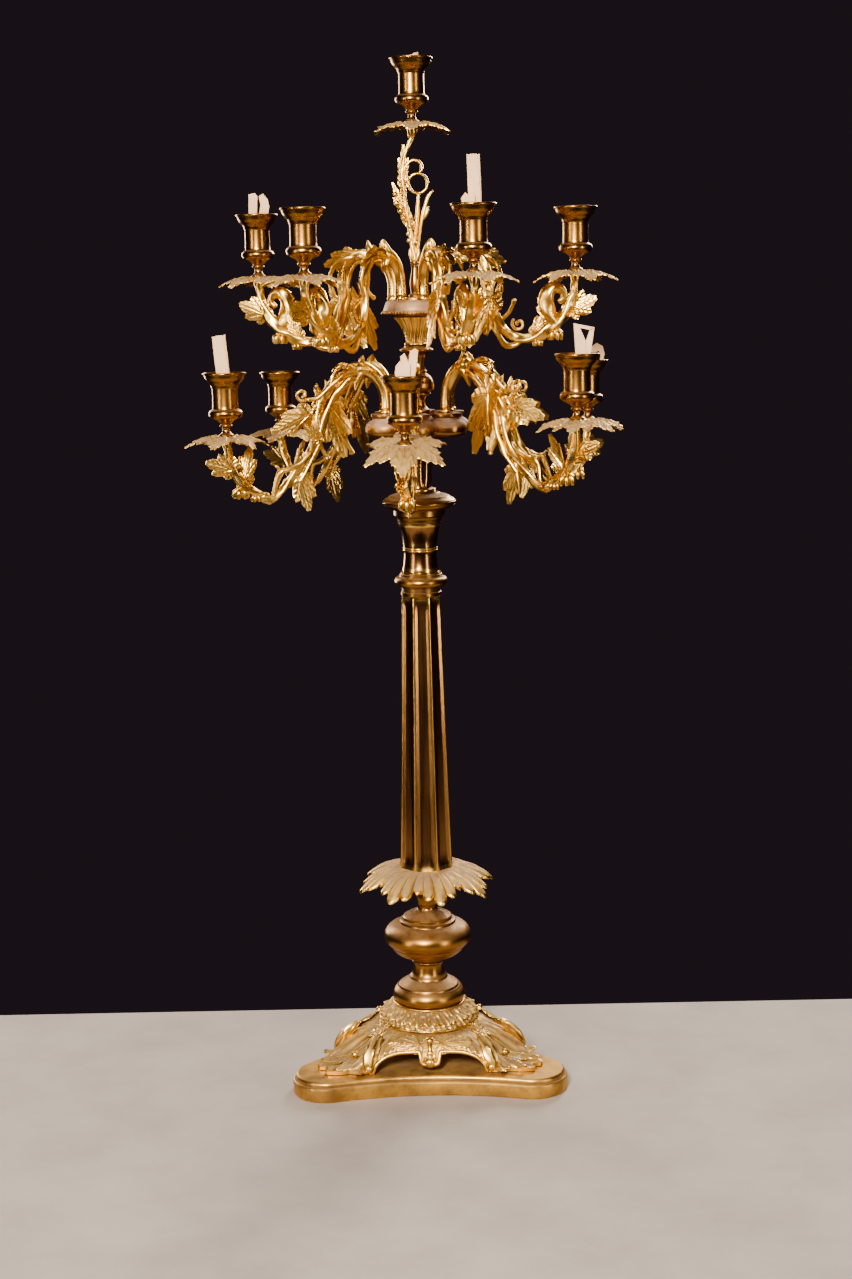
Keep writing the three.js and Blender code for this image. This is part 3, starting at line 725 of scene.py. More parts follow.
VASE = outline(
    (16.6, 603.4), *bead(15.4, 604, 2.6), (13.6, 607.4), (12, 610, 12.4, 618), (12.6, 632, 14.8, 641.6),
    (15.2, 642.6), (15.6, 643.4), (15.6, 644.8),
)
PEAR = outline(
    (13, 682.4), (13, 684.4), (9, 685.6, 8.2, 689), (7.8, 694), (8.4, 697.6, 13, 699.4),
    *bead(13, 699.6, 1.4), (17.6, 703, 16.8, 709), (15.6, 716, 10.6, 719.2), (9.6, 720),
    *bead(8.8, 720.4, 2.6), (8.6, 723.6), (8, 726),
)
SAUCER = outline(
    (7, 726.4), (7.4, 733, 9.6, 737), (12, 740.4, 15.8, 741.4), *bead(15.4, 741.6, 2.2), (14.6, 744.2),
    (12.4, 745.4), (11.6, 746.8),
)
SPINDLE = outline(
    (6.4, 794), (6.4, 795.6), (5.6, 796.6), (4.6, 797.4), (4.2, 798.6), (6, 806, 4.6, 812),
    (3.4, 818, 3, 822), *bead(3, 822.6, 1.8), (2.8, 824.8), *bead(2.9, 825.2, 2.2), (2.8, 827.8),
)


def gadroons(count, size, low, high):
    """Relief of upright lobes that fades out at both heights."""

    def relief(z, angles):
        if not low < z < high:
            return 0
        fade = math.sin(math.pi * (z - low) / (high - low)) ** 0.5
        return size * fade * (np.abs(np.cos(count / 2 * angles)) - 0.5)

    return relief


COLUMN = {"flutes": 8, "base": 28.9, "top": 20.8}


def column():
    """The tapering eight-sided column. Its sides are hollowed, and its edges rounded off."""
    low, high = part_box("column")
    flutes = COLUMN["flutes"]
    angles = around(256)
    off = off_place(angles, flutes)
    flat = np.minimum(math.cos(math.pi / flutes) / np.cos(off * TURN / flutes), 0.99)
    arris = np.clip((0.5 - off) / 0.16 - 0.5, 0, 1) ** 0.7
    hollow = arris * (0.045 + 0.03 * np.cos(off * math.pi))
    rows = []
    for share in np.linspace(0, 1, 60):
        ends = min(1, (1 - share) * 22, share * 22) ** 0.5 if 0 < share < 1 else 0
        radius = mix(COLUMN["base"], COLUMN["top"], share) * (flat - hollow * ends)
        rows.append(polar(radius, angles, mix(low.z, high.z, share) / MM))
    return skin(rows)


COLLAR_LEAVES = 8
COLLAR_TOP = 218.6
COLLAR_MIDDLE = 26
COLLAR_SPREAD = 44
COLLAR_TURN = 0.28 / COLLAR_LEAVES * TURN


def collar_leaves():
    """Eight drooping acanthus leaves of three round-ended fingers, with a short one between each two."""
    lobes = []
    for middle in COLLAR_TURN + around(COLLAR_LEAVES):
        for aside, reach, half in [(-11.2, 65.4, 7.4), (0, 70.6, 8), (11.2, 66, 7.4), (22.5, 58, 6)]:
            lobes.append((middle + math.radians(aside), reach, math.radians(half)))

    def height(r, angles, share):
        out = np.clip((r - COLLAR_MIDDLE) / COLLAR_SPREAD, 0, 2)
        away = angles - COLLAR_TURN
        between = off_place(away, COLLAR_LEAVES) * 2
        droop = COLLAR_TOP - 6 * out - 17 * out**2.6 - 3.5 * out * between**3
        fingers = np.abs(np.cos(away * COLLAR_LEAVES * 2)) ** 0.6 * 3.8 * np.clip(out * 1.2, 0, 1)
        return droop + fingers - 1.8 * np.clip(out, 0, 1) + 1.4 * np.sin(5 * angles + 1) * np.clip(out, 0, 1)

    leaves = lobed_sheet(lobes, 14, 3.4, height, 30, 768, (0.2, 2.2, 0.74, 1, 0))
    stub = outline((16, 190.4), (16.6, 192), (17, 204, 24, 212), (28, 215.4), (28.4, 217))
    return gathered(leaves, turned(stub, 64))


def capital():
    """A cup of eight upright leaves whose tips curl out under the hub."""

    def relief(z, angles):
        rise = min(max((z - 749) / 24, 0), 1)
        leaf = np.abs(np.cos(4 * angles))
        ribs = np.cos(32 * angles)
        return rise * (2.6 * leaf**0.7 - 1.2) + 0.45 * ribs * (rise > 0)

    points = [(10.2, 747.4), (11.8, 748), (11.8, 749), (10, 750.2)]
    points += [(10 + 9.2 * t**2.2, 750.2 + 23 * t) for t in np.linspace(0.04, 1, 22)]
    points += [(20, 774.4), (18.6, 775)]
    return turned(np.array(points), 192, relief)


PEG = 3.4
SOCKET = 3.7
LOWER_SOCKET_FLOOR = 670.4
UPPER_SOCKET_FLOOR = 779.4


def bored(shape, places, radius, low, high):
    """The shape with a round socket cut down into it at each place."""
    """The shape with a round socket cut down into it at each place."""
    tools = gathered(*[moved(turned(outline((radius, low), (radius, high)), 40), *place) for place in places])
    solids = [new_object("boring", new_mesh("boring", made)) for made in (shape, tools)]
    cut = solids[0].modifiers.new("cut", "BOOLEAN")
    cut.operation, cut.solver, cut.object = "DIFFERENCE", "EXACT", solids[1]
    result = solids[0].evaluated_get(bpy.context.evaluated_depsgraph_get()).to_mesh()
    points = [tuple(vertex.co / MM) for vertex in result.vertices]
    faces = [tuple(face.vertices) for face in result.polygons]
    for solid in solids:
        bpy.data.objects.remove(solid)
    return Shape().add(points, faces)


def socket_places(tier):
    """Where the tier's arms are hinged, in millimetres from the stem's axis."""
    return [[p / MM for p in joint["pos_m"][:2]] for name, joint in JOINTS.items() if tier in name]


def lower_hub():
    """The hub of six lobes. Those that hold an arm have a socket."""
    base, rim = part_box("lower_hub")[0].z / MM, top_of("lower_hub")
    body = outline(
        (15.6, base), (15.8, base + 3), (16.6, base + 8, 24, base + 9.6), (30, base + 11, 37, base + 15.4),
        (40, 664), (40, 667), (30, 669.6), (26.4, 674.4), (14, 678), (13.4, 680), (13.4, rim - 0.4),
    )
    lobe = outline(
        (4, 659), (13, 659.2), (19.6, 660.4, 20, 664.6), (20.2, 668.6), (19.6, 672, 16, 674.4),
        (13.4, 676), (13, 677.4), (14.4, 678.2), (14.8, 679.4), (14.6, rim - 0.3), (13.6, rim),
    )
    holder = np.vstack([lobe, [[SOCKET, rim], [SOCKET, LOWER_SOCKET_FLOOR]]])
    parts = [turned(body)]
    x, y, _ = JOINTS["lower_front"]["pos_m"]
    for angle in math.atan2(y, x) + around(6):
        middle = polar(math.hypot(x, y) / MM, angle)
        holds_arm = any(math.dist(middle, socket) < SOCKET for socket in socket_places("lower"))
        parts.append(moved(turned(holder if holds_arm else lobe, 64), *middle))
    return gathered(*parts)


def upper_hub():
    base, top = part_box("upper_hub")[0].z / MM, top_of("upper_hub")
    disc = outline(
        (18.6, base), (26, base + 0.3, 31.6, base + 1.8), (33, base + 2.6), (33, base + 5),
        (31.8, base + 6), (31, base + 9, 29.6, base + 12.4), (29, base + 14), (27.4, base + 15.6),
        (15.2, 791.2), (14.9, 792.8), (12.6, 793.2), (12, top),
    )
    made = bored(turned(disc), socket_places("upper"), SOCKET, UPPER_SOCKET_FLOOR, top + 2)
    return gathered(made, studs(60, 32.6, base + 3.6, 1.5, sides=10, rows=6))


for piece in [
    ("stem_bun", turned(BUN), "turned_brass", 30),
    ("stem_knop", turned(KNOP, 128), "turned_brass", 30),
    ("leaf_collar", collar_leaves(), "dusty_leaf", 60),
    ("column", column(), "column_brass", 30),
    ("column_collar", turned(COLLAR), "turned_brass", 30),
    ("bell_neck", turned(BELL), "column_brass", 30),
    ("crown_moulding", turned(CROWN), "turned_brass", 30),
    ("vase_stem", turned(VASE, 96, gadroons(8, 1.6, 608, 642)), "column_brass", 30),
    ("lower_hub", lower_hub(), "hub_brass", 30),
    ("pear_knop", turned(PEAR), "turned_brass", 30),
    ("saucer_neck", turned(SAUCER), "turned_brass", 30),
    ("leaf_capital", capital(), "gilt_cast", 50),
    ("upper_hub", upper_hub(), "hub_brass", 30),
    ("spindle", turned(SPINDLE, 48), "turned_brass", 30),
]:
    finish_piece(*piece)


def spray():
    """The flat foliate stem over the spindle: a tall leaf, a side leaf, a blade, buds, a ring and a curl."""
    front = (0, -1, 0)
    seat_top = top_of("foliate_spray")
    trunk = [(0, 0, 828.4, 3.4), (-1, 0, 838, 2.8), (-3, 0, 852, 2.3), (-5, 0, 868, 2.3), (-8, 0, 884, 2.4),
             (-9.4, 0, 900, 2.4), (-10, 0, 914, 2.3), (-8.6, 0, 926, 2.3), (-4, 0, 937, 2.2),
             (-0.6, 0, 945, 2.4), (0, 0, 950, 2.6)]
    husks = [[(side * 1.6, -1, 829, 2.2), (side * 3.6, -1.6, 834, 2), (side * 4.4, -1.6, 840, 0.9)]
             for side in (-1, 1)]
    blade = [(2.4, 0, 834, 1.6), (4.6, 0, 850, 2), (7.6, 0, 866, 2.4), (12, 0, 881, 2.3), (15, 0, 890, 1.8),
             (18.6, 0, 894.6, 1.2)]
    inner = [(0, 0, 844, 1.8), (2.2, 0, 858, 2), (3.4, 0, 872, 2.1), (4.4, 0, 884, 1.8), (5, 0, 892, 1.6)]
    ring = [(4.6 + 9.3 * math.cos(a), 0, 902 + 9.3 * math.sin(a), 1.5)
            for a in np.linspace(-2.6, TURN - 2.7, 26)]
    curl = [(-8.6, 0, 914, 1.4), (-6, 0, 919.6, 1.5), (-1, 0, 923.6, 1.6), (4, 0, 923.4, 1.6),
            (8, 0, 920, 1.7), (8.6, 0, 915, 1.8), (6, 0, 911.6, 1.6)]
    buds = [(-4, 861, 2.2), (-5.6, 854.4, 2.1), (-4.6, 848, 2.4), (-16.4, 883.6, 2.8), (-12.8, 876, 2.6),
            (-10, 869.6, 2.2), (-17.6, 892, 2), (-1, 842, 1.9), (2.4, 846, 1.8)]
    return gathered(
        stem(trunk, ridges=3, depth=0.16, twist=0.2),
        turned(outline((2, 944), (4, 945.6), (5, seat_top - 3), (5, seat_top - 0.2)), 32),
        *[stem(husk, 4, 10) for husk in husks],
        vine_leaf((-9.6, 0, 902), (-8.6, 0, 940), 12, front, 0.02, 0.12),
        vine_leaf((-5, 0, 866), (-20.8, 0, 905), 12, front, 0.06, 0.1),
        stem(blade, 6, 12, 2, 0.2, 0.1, flat=1.2),
        stem([(9, -0.6, 868, 1.4), (12.6, -0.6, 874, 2.2), (13.4, -0.6, 880, 1.2)], 5, 10),
        stem(inner, 6, 12, flat=1.3),
        stem(ring, 2, 12, flat=1.5),
        stem(curl, 5, 12, flat=1.3),
        *[ball((x, -1, z), size, (1, 0.8, 1.15)) for x, z, size in buds],
    )


finish_piece("foliate_spray", spray(), "gilt_cast", 60)


# ---------------------------------------------------------------- drip pan and candle cup
PAN_LOBES = [(math.radians(60 * k + aside), reach, math.radians(half))
             for k in range(6) for aside, reach, half in [(-17, 34, 15), (0, 42.6, 17), (17, 34, 15)]]
PAN_MIDDLE = 8
PAN_SPREAD = 34


def drip_pan(slope=0.0):
    """A pan of six vine-leaf lobes whose tips droop. A bent pan slopes down towards +X."""

    def height(r, angles, share):
        out = np.clip((r - PAN_MIDDLE) / PAN_SPREAD, 0, 1.1)
        between = off_place(angles, 6) * 2
        droop = -10.4 * out**2 * (1 - 0.3 * between) - 2.4 * out * between**3
        ripple = 0.7 * out * np.sin(13 * angles + 0.2 * r)
        relief = veins(r, angles, PAN_LOBES, 1.9, 1.3, 8) * np.clip(out * 4, 0, 1)
        return -0.3 + droop + ripple + relief - slope * np.clip(r - PAN_MIDDLE, 0, 60) * np.cos(angles)

    dish = lobed_sheet(PAN_LOBES, 2.6, 1.7, height, 22, 540, (0.34, 1.3, 0.5, 66, 0.06))
    seat = outline((6.8, -3.6), (8.6, -1.8), (8.8, -0.4), (8.2, 0.2), (2.8, 0.2))
    return gathered(dish, turned(seat, 48))


def candle_cup():
    """The turned cup with its open socket, its foot at z = 0."""
    points = outline(
        (2.1, -6), (2.1, 0.3), (7, 0.4), (7, 1.4), (6.4, 2), (5.4, 2.6), (3.7, 4, 3.6, 6.4), (3.8, 8.2),
        (4.6, 8.8), *bead(5.2, 9, 2), (5.2, 11.2), (5.4, 12), (7.4, 14.4, 10.6, 15.8),
        (13.6, 17.2), (16, 18.6, 16.3, 21.4), (16.3, 24.4, 13.8, 25.6), (12.9, 26.1), (12.6, 27),
        (12.2, 36, 12.4, 45.4), (12.9, 46.2), (13.2, 47.2), (13.6, 49.4, 16.4, 52), (18.6, 54, 19.4, 57),
        (19.8, 58.2), *bead(19.9, 58.4, 2.4), (19.3, 60.6), (18.6, 59), (17.4, 54.6, 14, 51.4), (11.6, 49.4),
        (11.2, 48.4), (11.1, 30), (10.6, 28.4, 8, 28), (0.1, 27.6),
    )
    return turned(points, 72)


BENT_PAN = ("lower_front", 0.5)
CUP_HEIGHT = 61
PAN = drip_pan()
CUP = candle_cup()


def candle_place(name, body, facing):
    """The pan and cup of one candle, turned to face along its arm. Gives the place of the pan's middle."""
    centre = middle_of(f"{name}_cup")
    middle = Vector((centre.x, centre.y, top_of(f"{name}_cup") - CUP_HEIGHT))
    place = Matrix.Translation(middle) @ Matrix.Rotation(facing, 4, "Z")
    pan = drip_pan(BENT_PAN[1]) if name == BENT_PAN[0] else PAN
    finish_piece(f"{name}_pan", pan, "dusty_leaf", 60, body, place, f"{name}_drip_pan")
    finish_piece(f"{name}_cup", CUP, "cup_brass", 30, body, place)
    return middle


# ---------------------------------------------------------------- arms
def sheath(points, *tips):
    """The smooth horn that rises from the socket, with its flared mouth and a pointed sepal to each tip."""
    parts = [stem(points, 8, 24, 8, 0.035)]
    mouth = Vector(points[-1][:3])
    for tip in tips:
        root = mouth.lerp(Vector(tip), 0.18)
        for sideways in (-3.2, 0, 3.2):
            start = (root.x - 2, sideways, root.z, 3.6)
            end = (tip[0], sideways * 0.25, tip[2], 0.5)
            middle = ((start[0] + end[0]) / 2 + 1, sideways * 0.8, (start[2] + end[2]) / 2, 2.6)
            parts.append(stem([start, middle, end], 5, 10))
    return gathered(*parts)


def candle_seat(x, z):
    """The arm's end under its pan."""
    return moved(turned(outline((3, z), (4.2, z + 4), (5, z + 8), (5, z + 11.6)), 24), x)


def ring_tendril(centre, start):
    """A thin ring of a little more than one turn, that shrinks and drifts sideways as it goes round."""
    cx, cy, cz = centre
    line = []
    for k, a in enumerate(np.linspace(start, start + TURN * 1.15, 26)):
        size = 6.4 * (1 - 0.03 * k)
        line.append((cx + size * math.cos(a), cy + 0.16 * k - 1, cz + size * math.sin(a), 1.6))
    return stem(line, 2, 10)


def bud_cluster(x, z, size):
    """A flower head of drooping petals round a knobbed middle."""
    parts = [ball((x, 0, z), size, (1, 1, 1.1))]
    for angle in around(6):
        petal = []
        for out, rise, thickness in [(0.5, 0.5, 0.42), (1.2, -0.1, 0.5), (1.3, -1.1, 0.34)]:
            along, aside = polar(size * 0.9 * out, angle)
            petal.append((x + along, aside, z + size * rise, size * thickness))
        parts.append(stem(petal, 4, 10))
    return gathered(*parts)


LOWER_HINGE = 34.5
UPPER_HINGE = 22


def lower_arm():
    horn = [(LOWER_HINGE, 0, 686.6, 6), (34.8, 0, 697, 5.4), (37, 0, 708, 5.5), (44, 0, 718.8, 6),
            (53, 0, 725, 6.8), (60, 0, 726.4, 7.6)]
    peg = outline((PEG, 671), (PEG, 682.6), (7, 682.7), (7.2, 684.2), (6.2, 685.4), (5, 686))
    trunk = [(56, 1, 725, 4.8), (68, 1, 724.6, 4.5), (79, 0, 719, 4.3), (89, -1, 709, 4.1),
             (98, -1, 697.5, 4), (104, 0, 684, 3.9), (106.5, 1, 671, 3.8), (108, 1, 659, 3.7),
             (112, 0, 646, 3.6), (120, -1, 635, 3.5), (130, -1, 624, 3.4), (139, 0, 613, 3.4),
             (148, 1, 605, 3.6), (154, 1, 603, 3.9), (161, 0, 607, 4.2), (169, 0, 611.4, 4.5),
             (177, 0, 616.6, 4.7), (184, 0, 626, 4.2), (190, 0, 640, 3.8), (192.4, 0, 651, 3.8),
             (193, 0, 662, 4)]
    inner = [(58, -2, 721, 3.4), (70, -3.6, 716, 3.1), (80, -4, 706.5, 3), (88, -4, 695, 3),
             (95, -3.4, 683, 3), (99, -3, 668, 2.9), (102, -3, 655, 2.8), (108, -3, 641, 2.6),
             (116, -2, 629, 2.4), (122, -1, 619, 2.2)]
    outer = [(62, 3, 726, 2.7), (75, 4, 722.6, 2.5), (86, 4.4, 714, 2.4), (96, 4, 705, 2.2),
             (105, 3.4, 699, 2), (113, 3, 698, 1.9)]
    stub = [(66, 3.4, 728, 2.5), (76, 4, 730, 2.7), (84, 4.4, 727, 2.6), (87.6, 4, 718, 2.4),
            (92, 3.4, 708, 2.2)]
    fork = [(112, 3, 647, 2.6), (122, 4, 638, 2.5), (134, 4, 632, 2.6), (141, 4, 630.4, 3.4),
            (145.6, 3.4, 622, 2.5), (148.6, 2, 609, 2.6)]
    leaves = [
        ((92, -6, 697), (74, -9, 638), 33, (0, -1, 0.1), 0.08, 0.14),
        ((112, 2, 684), (152, 4, 669), 27, (0.1, -1, 0.2), 0.1, 0.16),
        ((122, -1, 624), (113, -4, 588.6), 25, (0, -1, 0), 0.08, 0.14),
        ((188, 2, 634), (216, 4, 643), 25, (0.2, -1, 0.3), 0.12, 0.2),
        ((178, -2, 622), (169, -5, 657), 21, (-0.3, -1, 0), -0.1, 0.2),
        ((104, 5, 660), (120, 9, 676), 14, (0.3, 1, 0), 0.1, 0.14),
    ]
    return gathered(
        sheath(horn, (56, 0, 739), (64.5, 0, 706)),
        moved(turned(peg, 32), LOWER_HINGE),
        stem(trunk, 8, 16, 3, 0.2, 0.16, 0.1),
        stem(inner, 7, 12, 2, 0.16, 0.2, 0.08),
        stem(outer, 6, 12, 2, 0.12, 0.2),
        ring_tendril((118.6, 3, 703), -2.4),
        stem(stub, 6, 12, 3, 0.22, 0.5, 0.15),
        stem([(101, -3, 657, 2.2), (98, -4, 649, 2), (94, -5, 642, 2.2), (93.4, -5, 640, 3)], 5, 12),
        stem(fork, 6, 12, 2, 0.12, 0.3, 0.08),
        stem([(141, 4, 630, 2), (145, 4.6, 634, 1.6), (147, 5, 635.6, 1.2)], 4, 10),
        stem([(99, -2, 690, 1.8), (101, -2, 696, 1.6), (98, -3, 703, 1.3)], 4, 10),
        *[vine_leaf(*leaf) for leaf in leaves],
        bud_cluster(181, 612, 5.4),
        bud_cluster(166, 606, 3.4),
        ball((158, 0, 606), 5, (1.2, 1, 1)),
        candle_seat(193, 652),
    )


def upper_arm():
    horn = [(UPPER_HINGE, 0, 795.6, 5.8), (22.2, 0, 806, 5.2), (24.4, 0, 817, 5.3), (30, 0, 826.6, 5.9),
            (38, 0, 832.6, 6.8), (44, 0, 834.6, 7.6)]
    peg = outline((PEG, 780), (PEG, 791.8), (6.1, 791.9), (6.3, 793.2), (5.6, 794.4), (5, 795))
    trunk = [(43, 1, 834, 4.8), (54, 1, 836, 4.6), (65, 0, 831, 4.4), (71.6, -1, 819, 4.2),
             (73, -1, 806, 4.1), (74, 0, 793, 4), (77.6, 1, 778, 3.9), (84, 1, 765.4, 3.9), (94, 0, 756, 4),
             (106, -1, 751.6, 4.4), (118, 0, 753.6, 5), (129, 1, 759.6, 5.8), (139, 0, 767, 6),
             (148, 0, 778, 4.9), (154, 0, 791, 3.7), (156.6, 0, 802, 3.7), (157, 0, 812, 4)]
    second = [(46, -3, 830, 3), (58, -4, 828, 2.9), (66, -4.4, 818, 2.8), (68, -4, 804, 2.8),
              (69, -3.6, 790, 2.7), (72, -3, 777, 2.7), (78, -3, 764, 2.8), (84, -2.6, 752, 2.8),
              (90, -2, 745.6, 2.8), (98, -1, 746.6, 2.6), (105, 0, 752, 2.4)]
    third = [(60, 4, 833, 2.6), (74, 5, 830, 2.4), (82, 5, 820, 2.2), (84, 4, 808, 2), (80, 3, 797, 2)]
    scroll = [(137, -1, 766, 5.6), (131, -2, 775, 7.2), (128.6, -3, 786, 7.6), (131.6, -4, 796, 6.8),
              (138, -4, 800.6, 5.4), (144.6, -4, 797.6, 4.2), (146, -4, 791, 3.2), (142, -4, 787, 2.6)]
    return gathered(
        sheath(horn, (46, 0, 848.6), (47, 0, 818)),
        moved(turned(peg, 32), UPPER_HINGE),
        stem(trunk, 8, 16, 3, 0.2, 0.16, 0.1),
        stem(second, 6, 12, 2, 0.16, 0.24, 0.1),
        stem(third, 6, 12, 2, 0.12, 0.3, 0.08),
        stem([(71, -3, 806, 2), (64, -4, 799, 1.8), (59, -4, 795, 2), (57, -4, 794, 2.6)], 5, 12),
        stem([(84, 2, 770, 2.2), (92, 3, 778, 2), (96, 3, 786, 2), (97, 3, 789, 2.6)], 5, 12),
        ring_tendril((101, 2, 766), 2.4),
        vine_leaf((76, -5, 792), (51, -9, 743), 29, (0, -1, 0.1), 0.08, 0.14),
        vine_leaf((62, 3, 834), (90, 6, 826), 22, (0.2, -1, 0.4), 0.14, 0.16),
        vine_leaf((152, 2, 780), (178, 4, 790), 27, (0.2, -1, 0.3), -0.06, 0.2),
        stem(scroll, 7, 14, 3, 0.14, 0.2, 0.06, flat=0.8),
        vine_leaf((131, -4, 772), (121, -5, 792), 15, (-0.2, -1, 0), 0.1, 0.2),
        vine_leaf((116, 3, 757), (128, 6, 779), 14, (0, 1, 0), 0.1, 0.14),
        bud_cluster(137, 757, 5.2),
        bud_cluster(120, 749, 3.4),
        candle_seat(157, 802),
    )


def lifted(pattern, socket_at, reach, lift):
    """The pattern raised in proportion to the distance from its socket."""
    made = Shape().include(pattern)
    points = made.points[0]
    points[:, 2] += lift * np.clip((points[:, 0] - socket_at) / (reach - socket_at), 0, 2)
    return made


PATTERNS = {"lower": lower_arm(), "upper": upper_arm()}
PAN_TOPS = {"lower": 666, "upper": 816}
PLACES = {}


def finish_arm(body, joint):
    """One arm with its pan and cup, turned about its socket and bent as its CAD pieces are."""
    level = body.split("_")[0]
    centre = middle_of(f"{body}_cup")
    socket = Vector(joint["pos_m"]) / MM
    facing = math.atan2(centre.y - socket.y, centre.x - socket.x)
    socket_at = socket.xy.length
    lift = top_of(f"{body}_cup") - CUP_HEIGHT - PAN_TOPS[level]
    pattern = lifted(PATTERNS[level], socket_at, socket_at + (centre.xy - socket.xy).length, lift)
    place = Matrix.Translation((socket.x, socket.y, 0)) @ Matrix.Rotation(facing, 4, "Z")
    place = place @ Matrix.Translation((-socket_at, 0, 0))
    finish_piece(f"{body}_arm", pattern, "gilt_cast", 55, body, place)
    PLACES[body] = candle_place(body, body, facing)


for body, joint in JOINTS.items():
    finish_arm(body, joint)
PLACES["top"] = candle_place("top", STAND, math.radians(-90))


# ---------------------------------------------------------------- folded paper
SLEEVE_BOTTOM = 29


def sleeve(width, depth, rise, lean, slant, turn, at):
    """A flattened sleeve of folded card with an open top. It leans sideways, and its top edge slants."""
    angles = around(28)
    plan = np.stack([np.sign(np.cos(angles)) * np.abs(np.cos(angles)) ** 0.5 * width / 2,
                     np.sign(np.sin(angles)) * np.abs(np.sin(angles)) ** 0.8 * depth / 2], 1)
    outer, inner = [], []
    for t in np.linspace(0, 1, 9):
        open_up = mix(0.5, 1, t)
        crease = 0.35 * np.sin(7 * angles + 9 * t)
        top = CUP_HEIGHT + rise + slant * plan[:, 0] + 0.6 * np.sin(3 * angles)
        z = mix(SLEEVE_BOTTOM, top, t)
        middle = lean * t + at[0]
        x = plan[:, 0] + lean * t + at[0]
        narrowed = x * 0.96 + 0.04 * middle
        outer.append(np.stack([x + 0.1 * crease, (plan[:, 1] + crease) * open_up + at[1], z], 1))
        inner.append(np.stack([narrowed, (plan[:, 1] * 0.72 + crease) * open_up + at[1], z], 1))
    return spun(skin(np.array(outer + inner[::-1])[::-1], looped=True), turn)


def card(*points, depth=4.0, at=0.0, turn=0.0):
    """A flat fold of card that faces the front. Its corners are (across, height above the cup's rim)."""
    face = np.array(points, float)
    rows = []
    for y, crush in ((at - depth / 2, 0.94), (at - depth / 6, 1), (at + depth / 2, 0.97)):
        x = face[:, 0].mean() + (face[:, 0] - face[:, 0].mean()) * crush
        rows.append(np.stack([x, np.full(len(face), y) + 0.03 * face[:, 1], CUP_HEIGHT + face[:, 1]], 1))
    return spun(skin(np.array(rows)[::-1]), turn)


PAPERS = {
    "lower_front": [
        card((5, -9), (9, -9), (13.6, 21), (11, 23), (6, 21), (4, 8), depth=3, at=4),
        card((-6, -9), (5, -9), (6.6, 9), (3, 13), (0, 9), (-3, 12.6), (-7, 8), (-8, 2), at=2),
        card((-3, -9), (6, -9), (5, 12), (2, 19), (-2, 16), (-1, 8), depth=3, at=6, turn=0.15),
    ],
    "lower_front_right": [
        card((-3, 27), (2, 25), (8.6, 10), (8, -9), (-1, -9), depth=3, at=1),
        card((16.6, 23), (12.6, 22), (8, 10), (7, -9), (11.6, -9), depth=3, at=2.4),
        card((-3, 27), (16.6, 23), (15.4, 20), (0, 23.4), depth=5, at=3.4),
    ],
    "lower_back_right": [
        card((-4, -9), (2, -9), (4, 0), (8, 7), (12, 8.6), (14, 4), (13, -2), (16.4, -1), (18, 5), (16, 13),
             (10, 16.4), (4, 12), (-2, 3), depth=7, at=3),
    ],
    "lower_front_left": [sleeve(13, 3.6, 34, -5, 0.12, 0.1, (1, 3))],
    "upper_front_right": [
        sleeve(12, 3.4, 42, -2, 0.0, 0.1, (3, 3)),
        card((-9, -9), (2, -9), (2, 6), (-1, 9), (-4, 6.6), (-7, 9), (-11, 4), at=1),
    ],
    "upper_left": [
        card((-8, -9), (0, -9), (1.6, 17), (-1, 20), (-7.4, 19), depth=3, at=1),
        card((1, -9), (10, -9), (13, 7), (11.6, 14), (7, 19.6), (2.6, 17), (4, 9), depth=4, at=3, turn=0.1),
    ],
    "top": [sleeve(8, 3.4, 3.4, 1, 0.3, 0.2, (3, 3))],
}
for name, strips in PAPERS.items():
    body = STAND if name == "top" else name
    finish_piece(f"{name}_paper", gathered(*strips), "paper", 20, body, Matrix.Translation(PLACES[name]))

for name in ("tie_rod", "tie_rod_washer", "tie_rod_nut"):
    node = frame["nodes"][name]
    node.data.materials.clear()
    node.data.materials.append(MATERIALS["fixings"])


# ---------------------------------------------------------------- floor, light and camera
FLOOR = {"half_width": 1.1, "front": -0.75, "back": 0.166, "depth": 0.03}


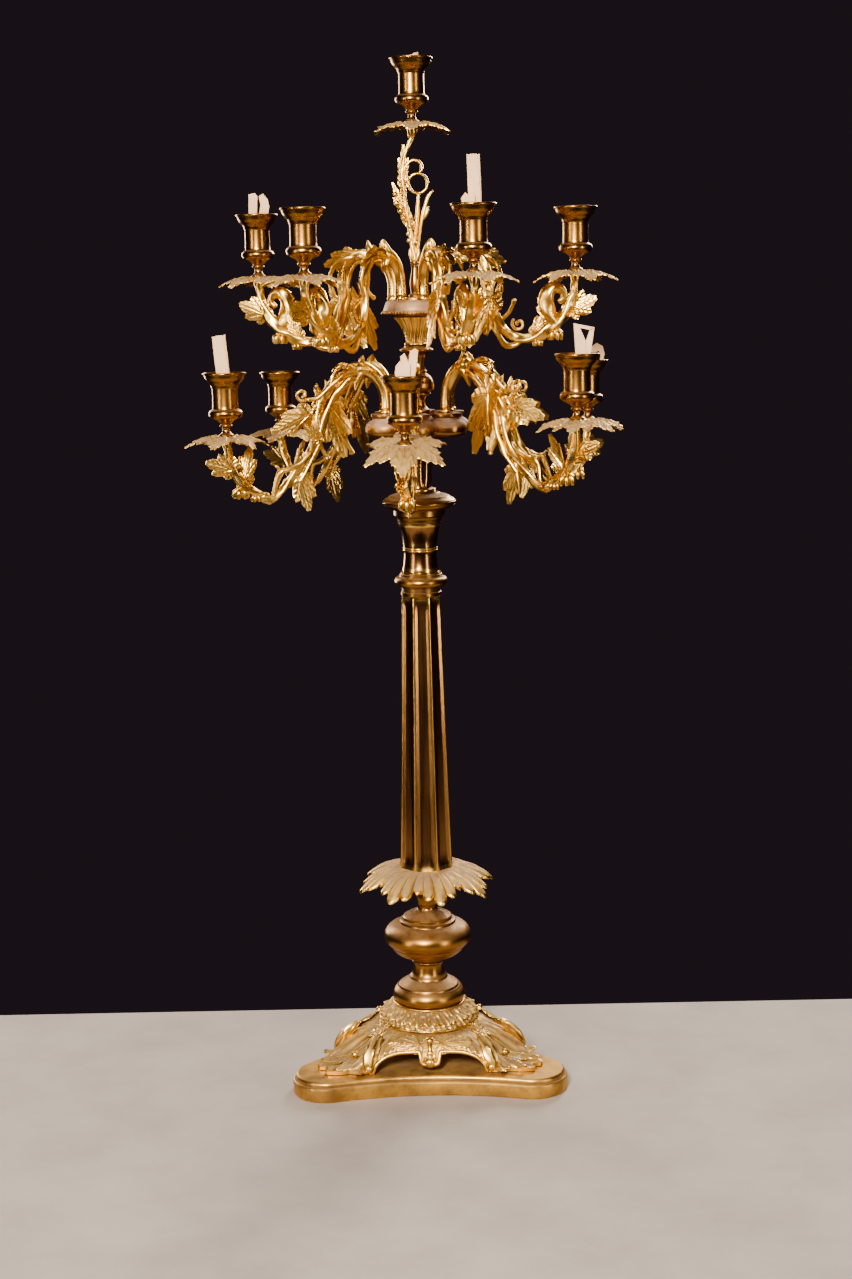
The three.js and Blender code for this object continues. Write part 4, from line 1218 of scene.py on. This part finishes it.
def floor():
    """A plain pale slab, whose back edge passes close behind the plinth."""
    across, front, back = FLOOR["half_width"], FLOOR["front"], FLOOR["back"]
    top = [(-across, front, 0), (across, front, 0), (across, back, 0), (-across, back, 0)]
    under = [(x, y, -FLOOR["depth"]) for x, y, _ in top]
    sides = [(i, i + 4, (i + 1) % 4 + 4, (i + 1) % 4) for i in range(4)]
    mesh = bpy.data.meshes.new("floor")
    mesh.from_pydata(top + under, [], [(0, 1, 2, 3), (7, 6, 5, 4), *sides])
    paint = Paint("floor")
    speckle = paint.ramp(paint.noise(9, 5), 0.3, 0.7)
    paint.look("Base Color", paint.mix(speckle, colour(0.36, 0.31, 0.29), colour(0.44, 0.39, 0.36)))
    paint.look("Roughness", 0.7)
    mesh.materials.append(MATERIALS["floor"])
    new_object("floor", mesh)


LIT = (0, 0, 0.55)


def softbox(name, place, size, watts, tint):
    """An area light that faces the middle of the object."""
    data = bpy.data.lights.new(name, "AREA")
    data.shape = "RECTANGLE"
    data.size, data.size_y = size
    data.energy = watts
    data.color = tint
    lamp = new_object(name, data)
    lamp.location = place
    lamp.rotation_euler = (Vector(LIT) - Vector(place)).to_track_quat("-Z", "Y").to_euler()


def studio():
    world = bpy.data.worlds.new("studio")
    world.use_nodes = True
    background = world.node_tree.nodes["Background"]
    background.inputs["Color"].default_value = colour(0.042, 0.028, 0.038)
    background.inputs["Strength"].default_value = 0.5
    bpy.context.scene.world = world
    warm, neutral = (1.0, 0.92, 0.80), (1.0, 0.95, 0.90)
    softbox("key", (-0.5, -2.4, 1.6), (0.3, 0.7), 112, warm)
    softbox("strip", (1.6, -1.6, 0.8), (0.14, 1.5), 14, warm)
    softbox("left", (-1.75, -1.45, 0.8), (0.14, 1.5), 13, warm)
    softbox("back", (0.9, 2.1, 1.6), (0.6, 1.2), 50, warm)
    softbox("behind", (-1.3, 1.8, 0.9), (0.3, 1.5), 26, warm)
    softbox("top", (0, 0.1, 2.5), (0.9, 0.9), 10, neutral)


CAMERA = {"lens": 55, "sensor": 36, "place": (0.004, -1.9387, 0.8052), "down": 10.283, "roll": -1.1}


def camera():
    """The camera, and a film look with a little more contrast than the plain one."""
    bpy.context.scene.view_settings.look = "AgX - Medium High Contrast"
    data = bpy.data.cameras.new("camera")
    data.lens = CAMERA["lens"]
    data.sensor_width = CAMERA["sensor"]
    made = new_object("camera", data)
    tilt = Matrix.Rotation(math.radians(90 - CAMERA["down"]), 4, "X")
    roll = Matrix.Rotation(math.radians(CAMERA["roll"]), 4, "Z")
    made.matrix_world = Matrix.Translation(CAMERA["place"]) @ tilt @ roll
    bpy.context.scene.camera = made


floor()
studio()
camera()
